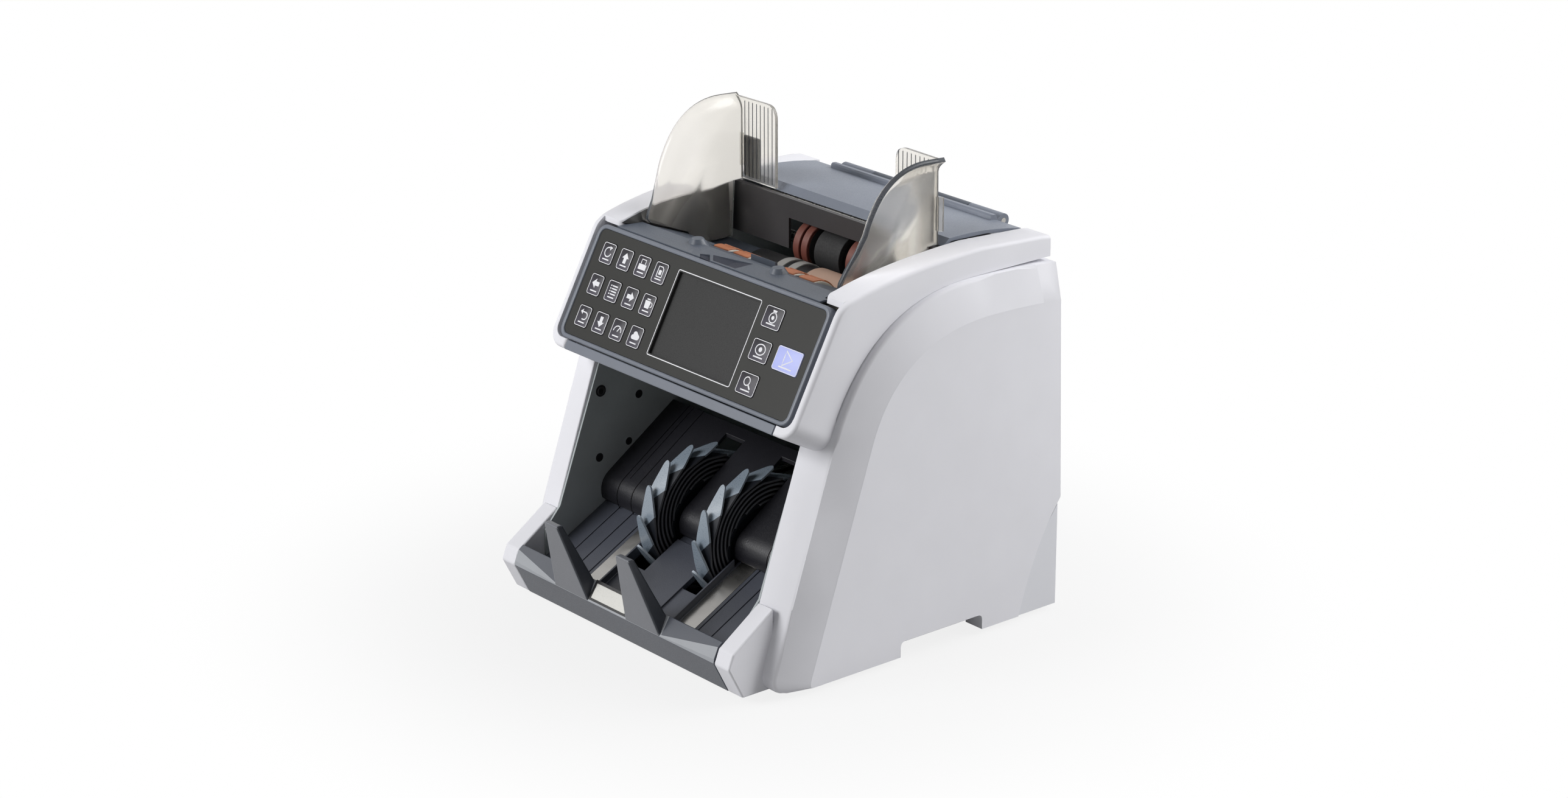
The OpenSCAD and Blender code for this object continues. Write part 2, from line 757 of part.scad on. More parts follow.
module hopper_ledge() {
  half = rim_x - slip;
  end_z = ledge_z(ledge_end);
  end = wall_y - 5;
  low = ledge_top - 2.8;
  drum_gap = 1;
  above = [[behind_bezel(ledge_top), ledge_top], [ledge_break, ledge_top], [ledge_end, end_z],
    [ledge_end + 4, floor_z], [end, floor_z]];
  under = [[end, floor_z - 2], [ledge_end + 2, floor_z - 2], [ledge_end - 2, end_z - 2], [ledge_break - 0.5, low],
    [behind_bezel(low), low]];
  wall = [for (p = rim_line(1.2)) if (p[0] < end - 6) p];
  color(slate) in_case() difference() {
    union() {
      slab(-half, half) polygon(concat(above, under));
      both_sides() translate([42.5, 89, ledge_top - 3.2]) cylinder(h = 7.4, r1 = 9, r2 = 4.2);
      both_sides() hull() {
        slab(half - 0.4, half) polygon(concat(wall, [[end, rim_top - 1.6], [end, floor_z + 4], [ledge_end, end_z - 1],
          [ledge_break, low + 1], [rim_front + 9, low + 1]]));
        slab(half - tub_w + slip, half - tub_w + slip + 0.4) polygon([[ledge_break, low + 1],
          [ledge_break, ledge_top], [end, ledge_top - 6], [end, floor_z - 1], [ledge_end + 4, floor_z - 1],
          [ledge_end, end_z - 1]]);
      }
    }
    both_sides() for (x = pad_places) bar(pickup_at, pad_r + 1, x - 1, x + pad_w + 1);
    translate([-57, feed_at[0] - feed_r - drum_gap, floor_z - 5]) cube([114, 60, 20]);
    finger_recess();
  }
}

// Where the ledge's front face stands behind the bezel's top face, at a height z
function behind_bezel(z) = let (top = panel_place(bezel_top, 0)) top[0] + (top[1] - z) * tan(panel_tilt) + seam;

// V-shaped finger recess in the ledge's front edge
module finger_recess() {
  translate([0, 66, ledge_top - 1.2]) linear_extrude(6) polygon([[-21, 0], [21, 0], [10, 11], [-10, 11]]);
}

module hopper_rear_wall() {
  color(charcoal) in_case() difference() {
    union() {
      translate([-rim_x + slip, wall_y, floor_z + 5]) cube([2 * (rim_x - slip), 2, wall_top - floor_z - 5]);
      translate([-rim_x + slip, wall_y, wall_top - 2]) cube([2 * (rim_x - slip), 3.4, 2]);
    }
    translate([-43, wall_y - 1, floor_z - 10]) cube([86, 4, 37]);
  }
}

module feed_roller() {
  color([0.8, 0.78, 0.72]) in_case() {
    bar(feed_at, shaft_r, -lane_1 - pulley_w, lane_2 + pulley_w);
    pulley(feed_at, driven_r, lane_2);
    pulley(feed_at, driven_r, -lane_1 - pulley_w);
    bar(feed_at, feed_r - 1, -55, 55);
    both_sides() for (x = [6, 18, 30, 42]) bar(feed_at, feed_r, x, x + 7);
  }
}

module retard_roller() {
  color(black) in_case() {
    bar(retard_at, shaft_r, -wall_x - 3, wall_x + 3);
    bar(retard_at, tyre_r - 0.5, -13, 13);
    both_sides() {
      bar(retard_at, tyre_r - 2.5, 20, 35);
      for (x = [20, 28.5]) bar(retard_at, tyre_r, x, x + 6.5);
    }
  }
}

// Note guides: smoked side plate with a flared top and a flange turned inward

function guide_outline() = concat(
  [[91, ledge_top + 3.6], [93.6, ledge_top + 0.8], [ledge_end, ledge_z(ledge_end) + 1.4],
    [ledge_end + 5.4, floor_z + 1.4], [wall_y - 4, floor_z + 1.4]],
  [[wall_y - 2, wall_top + 0.4], [flange_y + guide_t, wall_top + 0.4], [flange_y + guide_t, guide_top - 1]],
  curve([flange_y - 16, guide_top], [120, guide_top], [105, rim_top + 19], 10));

flare_z = guide_top - 16;
flare = 24;

module guide_plate() {
  slab(-guide_t, 0) polygon(guide_outline());
}

module note_guide() {
  upper = 40;
  lap = 0.5;
  fold = [guide_x - guide_t / 2, 0, flare_z];
  color(smoke) in_case() {
    intersection() {
      translate([guide_x, 0, 0]) guide_plate();
      translate([guide_x - 10, 0, 0]) cube([20, 300, flare_z + lap]);
    }
    translate(fold) rotate([0, flare, 0]) translate(-fold) intersection() {
      translate([guide_x, 0, 0]) guide_plate();
      translate([guide_x - 10, 0, flare_z - lap]) cube([20, 300, upper]);
    }
    translate([guide_x - flange_w, flange_y + guide_t, rack_z]) rotate([90, 0, 0]) linear_extrude(guide_t)
      guide_flange();
    for (i = [0 : 7]) translate([guide_x - flange_w + 3 + 4.2 * i, flange_y - 0.6, lid_low + 6])
      cube([0.7, 1.2, guide_top - 5 - lid_low - 6]);
  }
}

// Ribbed rear flange, seen from behind the hopper
module guide_flange() {
  low = lid_low + 2 - rack_z;
  high = guide_top - 1 - rack_z;
  fold = flare_z - rack_z;
  outer = flange_w - 1;
  corner = 8;
  difference() {
    polygon([[0, low], [outer, low], [outer, fold], [outer + (high - fold) * tan(flare), high], [0, high]]);
    difference() {
      translate([-1, high - corner]) square([corner + 1, corner + 1]);
      translate([corner, high - corner]) circle(corner);
    }
  }
  translate([flange_w - carriage_l, 0]) square([carriage_l - 1, low + 1]);
}

module left_note_guide() {
  mirror([1, 0, 0]) note_guide();
}

module right_note_guide() {
  note_guide();
}

// Guide carriages: each slides on the rod and carries a rack that meshes with the pinion

tooth_root = 0.6;
function tooth(x, y, dir) =
  let (tip = y + dir * (1.8 * tooth_reach + tooth_root))
  [[x - 0.75, y], [x - 0.32, tip], [x + 0.32, tip], [x + 0.75, y]];

module rack_teeth(x0, x1, y, dir) {
  first = ceil(x0 / tooth_pitch - 0.5);
  last = floor(x1 / tooth_pitch - 0.5);
  for (i = [first : last]) polygon(tooth((i + 0.5) * tooth_pitch, y, dir));
}

module carriage(x0) {
  back = flange_y + guide_t;
  difference() {
    translate([x0, back, rack_z]) cube([carriage_l - 1, rack_front_y - seam - back, 5.4]);
    bar(rod_at, rod_r + fit, x0 - 1, x0 + carriage_l + 1);
  }
}

rack_tip = 6.2;

module left_guide_rack() {
  outer = -guide_x + 1;
  color(black) in_case() {
    carriage(outer);
    translate([0, 0, rack_z]) linear_extrude(rack_t) {
      translate([outer, rack_front_y - seam]) square([carriage_l - 1, rack_body + seam]);
      translate([outer, rack_front_y]) square([rack_tip - outer, rack_body]);
      rack_teeth(-guide_travel - rack_tip, rack_tip, rack_front_y + rack_body - tooth_root, 1);
    }
  }
}

module right_guide_rack() {
  outer = guide_x - 1;
  arm = 8;
  color(black) in_case() {
    carriage(outer - carriage_l + 1);
    translate([0, 0, rack_z]) linear_extrude(rack_t) {
      translate([outer - arm, rack_front_y - 1]) square([arm, rack_rear_y + rack_body - rack_front_y + 1]);
      translate([-rack_tip, rack_rear_y]) square([outer + rack_tip, rack_body]);
      rack_teeth(-rack_tip, guide_travel + rack_tip, rack_rear_y + tooth_root, -1);
    }
  }
}

module guide_pinion() {
  color(steel) in_case() translate([0, pinion_y, rack_z]) difference() {
    union() {
      cylinder(h = rack_t, r = pinion_r - tooth_reach);
      for (i = [0 : pinion_teeth - 1]) rotate(i * 360 / pinion_teeth) linear_extrude(rack_t)
        polygon(tooth(0, pinion_r - tooth_reach - tooth_root, 1));
    }
    translate([0, 0, -1]) cylinder(h = rack_t + 2, r = 2 + fit);
  }
}

module guide_rod() {
  color(steel) in_case() bar(rod_at, rod_r, -rim_x - 5, rim_x + 5);
}

module guide_bridge() {
  color(steel) in_case() {
    translate([-rim_x + slip, flange_y + guide_t, bridge_z])
      cube([2 * rim_x - 2 * slip, rack_rear_y + 8 - flange_y, bridge_t]);
    translate([0, pinion_y, bridge_z + bridge_t]) cylinder(h = rack_t + 1, r = 2);
  }
}

// Lid with its hinge knuckles

// Half length of the raised bar along the lid's rear edge
lid_bar = 2.5 * knuckle_w + 0.5;

module lid() {
  rear = [hinge_at[0] - knuckle_r - 1.5, lid_low - 1.2];
  crest = [lid_front + 6, lid_low + 4.6];
  roof = concat([[lid_front, lid_low]], [crest], curve(crest, [lid_front + 40, crest[1] + 1], rear, 6));
  under = [[rear[0], rear[1] - lid_t], [lid_front + 40, crest[1] - lid_t - 1], [crest[0] + 2, crest[1] - lid_t],
    [lid_front + 3, lid_low]];
  color(slate) in_case() difference() {
    union() {
      slab(-lid_x, lid_x) polygon(concat(roof, under));
      slab(-lid_bar, lid_bar) translate(rear) polygon([[-6.2, -0.4], [-5.7, 3.6], [-4.5, 4.6], [-1.5, 4.4],
        [-0.2, 2.6], [-0.2, -1.4]]);
      for (x = [-2 * knuckle_w, 0, 2 * knuckle_w]) {
        bar(hinge_at, knuckle_r, x - knuckle_w / 2 + seam, x + knuckle_w / 2 - seam);
        slab(x - knuckle_w / 2 + seam, x + knuckle_w / 2 - seam)
          polygon([rear - [1, 0], hinge_at + [0, knuckle_r], hinge_at, rear - [1, lid_t]]);
      }
    }
    bar(hinge_at, pin_r + fit, -rim_x, rim_x);
  }
}

module hinge_pin() {
  color(steel) in_case() bar(hinge_at, pin_r, -2.5 * knuckle_w + 0.2, 2.5 * knuckle_w - 0.2);
}

// Control panel

// Rows of small keys left of the display
key_pitch_x = 19.27;
key_top = panel_h / 2 - 15.4;
key_bottom = 14.8 - panel_h / 2;
key_pitch_y = (key_top - key_bottom) / 2;
block_w = 3 * key_pitch_x + small_key_w;
// Gaps across the panel: left margin, keys to display, to the wide keys, to the start key, right margin
panel_gaps = [7.9, 10.04, 6.75, 5.9, 6];
spare_w = panel_w - block_w - screen_w - wide_key_w - start_key_w;
squeeze = spare_w / (panel_gaps * [1, 1, 1, 1, 1]);
key_left = -panel_w / 2 + squeeze * panel_gaps[0] + small_key_w / 2;
start_key_x = panel_w / 2 - squeeze * panel_gaps[4] - start_key_w / 2;
wide_key_x = start_key_x - start_key_w / 2 - squeeze * panel_gaps[3] - wide_key_w / 2;
screen_x = wide_key_x - wide_key_w / 2 - squeeze * panel_gaps[2] - screen_w / 2;
function small_key_at(i) = [key_left + key_pitch_x * (i % 4), key_top - key_pitch_y * floor(i / 4)];
screen_at = [screen_x, -0.5];
function wide_key_at(i) = [wide_key_x, key_top - 1 - key_pitch_y * i];
start_key_at = [start_key_x, -0.8];
start_key_h = 16.5;

module key_cutouts(gap) {
  for (i = [0 : 11]) translate(small_key_at(i)) rounded(small_key_w + 2 * gap, key_h + 2 * gap, 2);
  for (i = [0 : 2]) translate(wide_key_at(i)) rounded(wide_key_w + 2 * gap, key_h + 2 * gap, 2);
  translate(start_key_at) rounded(start_key_w + 2 * gap, start_key_h + 2 * gap, 2);
}

// Ring round the overlay and the strip under it, which fits between the feet of both cheeks
module bezel_outline() {
  strip_x = ring_x - cheek_foot - slip;
  translate([0, (bezel_top + ring_bottom) / 2]) rounded(2 * bezel_x - slip, bezel_top - ring_bottom, 7);
  translate([-strip_x, bezel_bottom]) square([2 * strip_x, bezel_low]);
}

module panel_bezel() {
  shelf = 4;
  color(slate) in_case() in_panel() difference() {
    translate([0, 0, bezel_back]) linear_extrude(0.8 - bezel_back) bezel_outline();
    translate([0, 0, -overlay_t]) linear_extrude(10) rounded(panel_w + 2 * slip, panel_h + 2 * slip, 5);
    translate([0, 0, bezel_back - 1]) {
      linear_extrude(20) rounded(panel_w - 2 * shelf, panel_h - 2 * shelf, 4);
      linear_extrude(1 + board_z - bezel_back) square([panel_w, panel_h], center = true);
    }
  }
}

module panel_overlay() {
  color([0.2, 0.2, 0.2]) in_case() in_panel() translate([0, 0, -overlay_t])
    linear_extrude(overlay_t) difference() {
      rounded(panel_w, panel_h, 5);
      key_cutouts(key_gap);
      translate(screen_at) square([screen_w + 2 * slip, screen_h + 2 * slip], center = true);
    }
}

module display_module() {
  color([0.13, 0.13, 0.14]) in_case() in_panel() translate([screen_at[0], screen_at[1], board_z])
    translate([-screen_w / 2, -screen_h / 2, 0]) cube([screen_w, screen_h, -board_z - 0.3]);
}

module panel_board() {
  color(green) in_case() in_panel() translate([-panel_w / 2 + 1, -panel_h / 2 + 1, board_z - board_t])
    cube([panel_w - 2, panel_h - 2, board_t]);
}

module key_cap(at, w, h, shade) {
  color(shade) in_case() in_panel() translate(at) {
    translate([0, 0, -3]) linear_extrude(3.5) rounded(w, h, 2);
    translate([0, 0, board_z + 1.2]) cylinder(h = -board_z - 3.2, r = 2);
  }
}

module small_key(i) {
  key_cap(small_key_at(i), small_key_w, key_h, [0.25, 0.25, 0.25]);
}

module wide_key(i) {
  key_cap(wide_key_at(i), wide_key_w, key_h, [0.25, 0.25, 0.25]);
}

module start_key() {
  key_cap(start_key_at, start_key_w, start_key_h, [0.66, 0.7, 0.92]);
}

// Electronics

module sensor_bars() {
  path = feed_at - [12, 53];
  color(charcoal) in_case() for (side = [-1, 1]) translate([0, path[0], path[1]]) rotate([-24, 0, 0])
    translate([-pocket_x, side * 11 - 8, -12]) cube([pocket_w, 16, 24]);
}

module main_board() {
  color(green) in_case() translate([-pocket_x, plate_rear - 10, 90]) cube([pocket_w, board_t, 120]);
}

module power_supply() {
  case_t = 1.2;
  vents = 8;
  size = [pocket_w - motor_l - 36, plate_rear - 166, 42];
  color(steel) in_case() translate([8 - pocket_x, 150, floor_t]) difference() {
    cube(size);
    translate(case_t * [1, 1, 1]) cube(size - 2 * case_t * [1, 1, 1]);
    for (i = [0 : vents - 1]) translate([8 + i * (size[0] - 8) / vents, 10, size[2] - 3])
      cube([6, size[1] - 20, 10]);
  }
}

base_pan();
rubber_feet();
left_side_plate();
right_side_plate();
left_side_cover();
right_side_cover();
front_base();
top_frame();
front_housing();
rear_cover();
front_lip();
stacker_tray();
wear_strips();
stacker_bed();
stacker_shaft();
left_stacker_wheel();
right_stacker_wheel();
shaft_bushes();
panel_bezel();
panel_overlay();
display_module();
panel_board();
small_key(0);  // key_1
small_key(1);  // key_2
small_key(2);  // key_3
small_key(3);  // key_4
small_key(4);  // key_5
small_key(5);  // key_6
small_key(6);  // key_7
small_key(7);  // key_8
small_key(8);  // key_9
small_key(9);  // key_10
small_key(10);  // key_11
small_key(11);  // key_12
wide_key(0);  // wide_key_1
wide_key(1);  // wide_key_2
wide_key(2);  // wide_key_3
start_key();
hopper_ledge();
hopper_rear_wall();
pickup_roller();
feed_roller();
retard_roller();
left_note_guide();
right_note_guide();
left_guide_rack();
right_guide_rack();
guide_rod();
guide_bridge();
guide_pinion();
lid();
hinge_pin();
drive_motor();
drive_pulley();
drive_belts();
sensor_bars();
main_board();
power_supply();
mains_inlet();
power_switch();
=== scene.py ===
"""Banknote counter: finishes, moulded covers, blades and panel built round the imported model."""
import json
import math

import bmesh
import bpy
from mathutils import Matrix, Vector

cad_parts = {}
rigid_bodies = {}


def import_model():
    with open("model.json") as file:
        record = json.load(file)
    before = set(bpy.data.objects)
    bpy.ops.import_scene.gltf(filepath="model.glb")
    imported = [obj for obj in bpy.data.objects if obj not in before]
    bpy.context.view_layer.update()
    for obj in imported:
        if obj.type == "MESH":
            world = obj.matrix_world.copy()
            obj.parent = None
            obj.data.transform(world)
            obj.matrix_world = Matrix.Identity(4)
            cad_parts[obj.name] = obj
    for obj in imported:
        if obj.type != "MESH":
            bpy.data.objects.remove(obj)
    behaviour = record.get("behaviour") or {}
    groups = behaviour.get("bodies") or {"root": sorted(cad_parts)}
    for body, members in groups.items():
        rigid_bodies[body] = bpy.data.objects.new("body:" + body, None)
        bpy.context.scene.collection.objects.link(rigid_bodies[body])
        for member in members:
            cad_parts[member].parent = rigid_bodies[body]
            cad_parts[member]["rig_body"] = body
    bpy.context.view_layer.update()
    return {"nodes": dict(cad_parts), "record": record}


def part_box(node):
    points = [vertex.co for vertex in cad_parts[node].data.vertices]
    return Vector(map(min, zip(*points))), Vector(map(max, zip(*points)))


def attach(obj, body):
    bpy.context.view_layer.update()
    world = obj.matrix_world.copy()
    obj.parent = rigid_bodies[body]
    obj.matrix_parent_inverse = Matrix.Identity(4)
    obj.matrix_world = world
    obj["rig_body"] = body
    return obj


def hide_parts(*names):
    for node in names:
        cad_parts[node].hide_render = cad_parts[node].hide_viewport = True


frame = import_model()
nodes = frame["nodes"]
slot_of = {part["node"]: part["material_slot"] for part in frame["record"]["subparts"]}

# Case frame in millimetres: x right, y rearwards from a datum near the nose, z up from the underside
HINGE_REAR = 260.0
SHIFT_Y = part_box("lid")[1].y * 1000 - HINGE_REAR
SHIFT_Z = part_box("base_pan")[0].z * 1000
TO_MODEL = Matrix.Scale(0.001, 4) @ Matrix.Translation((0, SHIFT_Y, SHIFT_Z))

# Panel frame: u right, v up the slope, n out of the panel's face
PANEL_Y = 49.05
PANEL_Z = 214.6
PANEL_TILT = math.radians(61.6)
PANEL = TO_MODEL @ Matrix.Translation((0, PANEL_Y, PANEL_Z)) @ Matrix.Rotation(PANEL_TILT, 4, "X")

# Case: slope of its front edge, distance of columns, shoulders, bevels and flanks, and heights
LEAN = math.tan(math.radians(18.85))
COLUMN_X = 109.7
SHOULDER_X = 123.6
BEVEL_X = 135
FLANK_X = 140
RIDGE_TOP = 250.5
BEND_Z = 157
SEAM_Z = 79


# Finishes

def shade(red, green, blue):
    """A display colour, 0 to 255, as a linear shader colour."""
    def linear(level):
        level /= 255
        return level / 12.92 if level <= 0.04045 else ((level + 0.055) / 1.055) ** 2.4
    return (linear(red), linear(green), linear(blue), 1)


def new_material(name):
    """A material with its node tree, shader and object coordinates."""
    material = bpy.data.materials.new(name)
    material.use_nodes = True
    tree = material.node_tree
    shader = tree.nodes["Principled BSDF"]
    place = tree.nodes.new("ShaderNodeTexCoord")
    return material, tree, shader, place.outputs["Object"]


def noise(tree, place, scale, detail=2.0, stretch=None):
    """A noise pattern on the object's own coordinates."""
    pattern = tree.nodes.new("ShaderNodeTexNoise")
    pattern.inputs["Scale"].default_value = scale
    pattern.inputs["Detail"].default_value = detail
    if stretch:
        mapping = tree.nodes.new("ShaderNodeMapping")
        mapping.inputs["Scale"].default_value = stretch
        tree.links.new(place, mapping.inputs["Vector"])
        place = mapping.outputs["Vector"]
    tree.links.new(place, pattern.inputs["Vector"])
    return pattern.outputs["Fac"]


def ramp(tree, factor, socket, low, high, start=0.35, end=0.65):
    """Sends a socket two colours or grey levels, spread over part of a pattern's range."""
    node = tree.nodes.new("ShaderNodeValToRGB")
    node.color_ramp.elements[0].position = start
    node.color_ramp.elements[0].color = low
    node.color_ramp.elements[1].position = end
    node.color_ramp.elements[1].color = high
    tree.links.new(factor, node.inputs["Fac"])
    tree.links.new(node.outputs["Color"], socket)


def bump(tree, shader, height, strength, distance):
    """Lets a pattern's height tilt the shader's normal."""
    node = tree.nodes.new("ShaderNodeBump")
    node.inputs["Strength"].default_value = strength
    node.inputs["Distance"].default_value = distance
    tree.links.new(height, node.inputs["Height"])
    tree.links.new(node.outputs["Normal"], shader.inputs["Normal"])


def grey(level):
    """A grey level as a shader colour."""
    return (level, level, level, 1)


def tinted(colour, factor):
    """A colour made darker or lighter by a factor."""
    return tuple(min(1, c * factor) for c in colour[:3]) + (1,)


def uneven_gloss(tree, shader, pattern, rough, spread):
    """Roughness that follows a pattern to both sides of its mean."""
    ramp(tree, pattern, shader.inputs["Roughness"], grey(rough - spread), grey(rough + spread))


def moulded(name, colour, rough, grain=1600, depth=0.06, mottle=0.06, gloss=0.35):
    """Moulded plastic: fine spark-eroded grain, slightly uneven colour and gloss."""
    material, tree, shader, place = new_material(name)
    shader.inputs["Specular IOR Level"].default_value = gloss
    cloud = noise(tree, place, scale=22, detail=3)
    ramp(tree, cloud, shader.inputs["Base Color"], tinted(colour, 1 - mottle), tinted(colour, 1 + mottle))
    fine = noise(tree, place, grain)
    uneven_gloss(tree, shader, fine, rough, 0.05)
    bump(tree, shader, fine, strength=depth, distance=0.0004)
    return material


def brushed(name, colour, rough):
    """Brushed sheet metal with streaks along one direction."""
    material, tree, shader, place = new_material(name)
    shader.inputs["Metallic"].default_value = 1.0
    streak = noise(tree, place, scale=900, detail=3, stretch=(1, 0.02, 0.02))
    ramp(tree, streak, shader.inputs["Base Color"], tinted(colour, 0.82), colour, start=0.3, end=0.7)
    uneven_gloss(tree, shader, streak, rough, 0.08)
    bump(tree, shader, streak, strength=0.08, distance=0.0003)
    return material


def polished(name, colour, rough):
    """Thin polished sheet whose gentle waves bend what it mirrors."""
    material, tree, shader, place = new_material(name)
    shader.inputs["Metallic"].default_value = 1.0
    wave = noise(tree, place, scale=55, detail=1)
    ramp(tree, wave, shader.inputs["Base Color"], tinted(colour, 0.94), colour)
    uneven_gloss(tree, shader, wave, rough, 0.03)
    bump(tree, shader, wave, strength=0.12, distance=0.004)
    return material


def key_face():
    """Key film that fades from a dark top to a lighter lower edge, on the key's own map."""
    material, tree, shader, place = new_material("key_plastic")
    shader.inputs["Specular IOR Level"].default_value = 0.2
    across = tree.nodes.new("ShaderNodeUVMap")
    split = tree.nodes.new("ShaderNodeSeparateXYZ")
    tree.links.new(across.outputs["UV"], split.inputs["Vector"])
    ramp(tree, split.outputs["Y"], shader.inputs["Base Color"], shade(70, 67, 78), shade(36, 34, 40),
         start=0.0, end=0.9)
    fine = noise(tree, place, scale=1800)
    uneven_gloss(tree, shader, fine, 0.36, 0.04)
    bump(tree, shader, fine, strength=0.05, distance=0.0003)
    return material


def smoke(name, low, high, clear, rough):
    """Frosted smoke-grey plastic that blurs what stands behind it."""
    material, tree, shader, place = new_material(name)
    cloud = noise(tree, place, scale=14)
    ramp(tree, cloud, shader.inputs["Base Color"], low, high)
    shader.inputs["Transmission Weight"].default_value = clear
    shader.inputs["IOR"].default_value = 1.3
    fine = noise(tree, place, scale=1800)
    uneven_gloss(tree, shader, fine, rough, 0.04)
    bump(tree, shader, fine, strength=0.03, distance=0.0003)
    return material


# Mouldings: colour, roughness, then the grain's scale and depth, the mottle and the gloss
WHITE = moulded("white_moulding", shade(226, 226, 231), 0.6, mottle=0.012, depth=0.05, gloss=0.2)
# Rear cover: a slightly darker copy of the white moulding, painted shade on the case's rear corner
REAR_WHITE_PAINTED_SHADE = moulded("rear_moulding_painted_shade", shade(219, 220, 225), 0.6, mottle=0.012, depth=0.05, gloss=0.2)
SLATE = moulded("slate_moulding", shade(74, 80, 90), 0.42, 1500, 0.14, 0.05)
CHARCOAL = moulded("charcoal_moulding", shade(44, 46, 50), 0.48, 1400, 0.2, 0.08)
# Side walls: lighter than their own dark grey paint, painted light for the shaded stacker cavity
WALL_WITH_PAINTED_LIGHT = moulded("wall_painted_light", shade(166, 172, 174), 0.5, 900, 0.08, 0.05)
BLACK = moulded("black_plastic", shade(20, 20, 22), 0.4, 1500, 0.08, 0.1)
KEY = key_face()
START = moulded("start_key_plastic", shade(176, 184, 240), 0.4, 1800, 0.05, 0.02)
OVERLAY = moulded("panel_film", shade(46, 46, 44), 0.36, 2400, 0.03, 0.03, 0.15)
SCREEN = moulded("display_glass", shade(50, 50, 50), 0.3, 2400, 0.0, 0.02, 0.15)
INK = moulded("pale_print", shade(226, 226, 230), 0.5, 2000, 0.02, 0.03)
STEEL = brushed("bare_steel", shade(176, 174, 170), 0.32)
RUBBER = moulded("black_rubber", shade(26, 26, 27), 0.7, 700, 0.2, 0.12)
COPPER = moulded("orange_rubber", shade(168, 106, 74), 0.5, 500, 0.3, 0.16)
# Pad slots: the copper rubber darkened, painted shade in the slots
SLOT_PAINTED_SHADE = moulded("pad_slot_painted_shade", shade(52, 26, 18), 0.6, 700, 0.1, 0.1)
BEIGE = moulded("pale_rubber", shade(192, 162, 144), 0.6, 800, 0.2, 0.06)
# Feed rings: the cream plastic darkened, painted shade
RING_PAINTED_SHADE = moulded("ring_painted_shade", shade(168, 167, 164), 0.45, 900, 0.08, 0.05)
CREAM = moulded("cream_plastic", shade(206, 202, 192), 0.45, 900, 0.08, 0.05)
TYRE = moulded("brown_red_rubber", shade(100, 56, 47), 0.5, 800, 0.2, 0.08)
BOARD = moulded("board_green", shade(24, 84, 52), 0.4, 900, 0.1, 0.1)
LID = moulded("lid_moulding", shade(112, 118, 130), 0.44, 1100, 0.3, 0.07, 0.5)
BEZEL = moulded("bezel_moulding", shade(106, 111, 121), 0.38, 1800, 0.08, 0.04)
FIN = moulded("fin_moulding", shade(106, 108, 114), 0.34, 1400, 0.1, 0.05, 0.5)
# Fins' right-facing sides: a darker copy, painted shade
FIN_SIDE_PAINTED_SHADE = moulded("fin_side_painted_shade", shade(58, 61, 68), 0.4, 1400, 0.1, 0.05)
LIP = moulded("lip_moulding", shade(66, 70, 79), 0.4, 1400, 0.12, 0.05, 0.4)
# Lighter copy of the lip moulding: painted highlight on its front-up facets
LIP_FACET_PAINTED_HIGHLIGHT = moulded("lip_facet_painted_highlight", shade(150, 153, 158), 0.36, 1400, 0.12, 0.05, 0.5)
# Finger recess: darker than the slate, painted shade in the recess
RECESS_PAINTED_SHADE = moulded("recess_painted_shade", shade(44, 47, 57), 0.5, 1500, 0.14, 0.05, 0.1)
TRAY = moulded("tray_moulding", shade(60, 63, 72), 0.42, 1100, 0.2, 0.1, 0.5)
BED_LINE = moulded("bed_seam", shade(4, 4, 5), 0.7, 1100, 0.1, 0.1, 0.05)
BED = moulded("bed_moulding", shade(27, 27, 32), 0.36, 1100, 0.2, 0.1, 0.4)
HOPPER_WALL = moulded("hopper_wall", shade(60, 58, 59), 0.4, 1400, 0.12, 0.08)
STRIP = polished("wear_strip_steel", shade(168, 166, 163), 0.26)
ZINC = brushed("zinc_sheet", shade(70, 71, 72), 0.6)
# Blades and hubs: the slate-blue plastic darkened, painted shade
BLADE_PAINTED_SHADE = moulded("wheel_moulding_painted_shade", shade(26, 29, 35), 0.4, 1500, 0.08, 0.06)
# Blade tip: the same slate-blue plastic painted pale, a painted reflection of the lamp
LEAF_PAINTED_REFLECTION = moulded("blade_tip_painted_reflection", shade(128, 140, 152), 0.3, 1500, 0.02, 0.05, 1.0)
# Blade and leaf rims: lighter copies, painted highlights on the blades' edges
BLADE_EDGE_PAINTED_HIGHLIGHT = moulded("wheel_edge_painted_highlight", shade(104, 105, 109), 0.4, 1500, 0.08, 0.06)
LEAF_EDGE_PAINTED_HIGHLIGHT = moulded("leaf_edge_painted_highlight", shade(176, 186, 196), 0.34, 1500, 0.04, 0.06, 1.0)
INSERT = moulded("pale_insert", shade(214, 213, 208), 0.3, 900, 0.04, 0.03)
SMOKE = smoke("smoke_plastic", shade(238, 235, 229), shade(244, 241, 236), 0.93, 0.2)
SMOKE_EDGE = smoke("smoke_edge", shade(70, 74, 80), shade(78, 82, 88), 0.25, 0.3)

FINISH = {
    "white_plastic": WHITE, "slate_plastic": SLATE, "charcoal_plastic": CHARCOAL, "painted_steel": WALL_WITH_PAINTED_LIGHT,
    "bare_steel": STEEL, "overlay_plastic": OVERLAY, "key_plastic": KEY, "start_key_plastic": START,
    "orange_rubber": COPPER, "pale_roller": BEIGE, "black_rubber": RUBBER, "smoke_plastic": SMOKE,
    "circuit_board": BOARD,
}
OWN_FINISH = {
    "lid": LID, "wear_strips": STRIP, "base_pan": ZINC, "stacker_tray": TRAY, "stacker_bed": BED,
    "hopper_rear_wall": HOPPER_WALL, "rear_cover": REAR_WHITE_PAINTED_SHADE,
}


def finish_of(node):
    """A CAD node's own finish, or else that of its slot."""
    return OWN_FINISH.get(node, FINISH[slot_of[node]])


# Mesh helpers

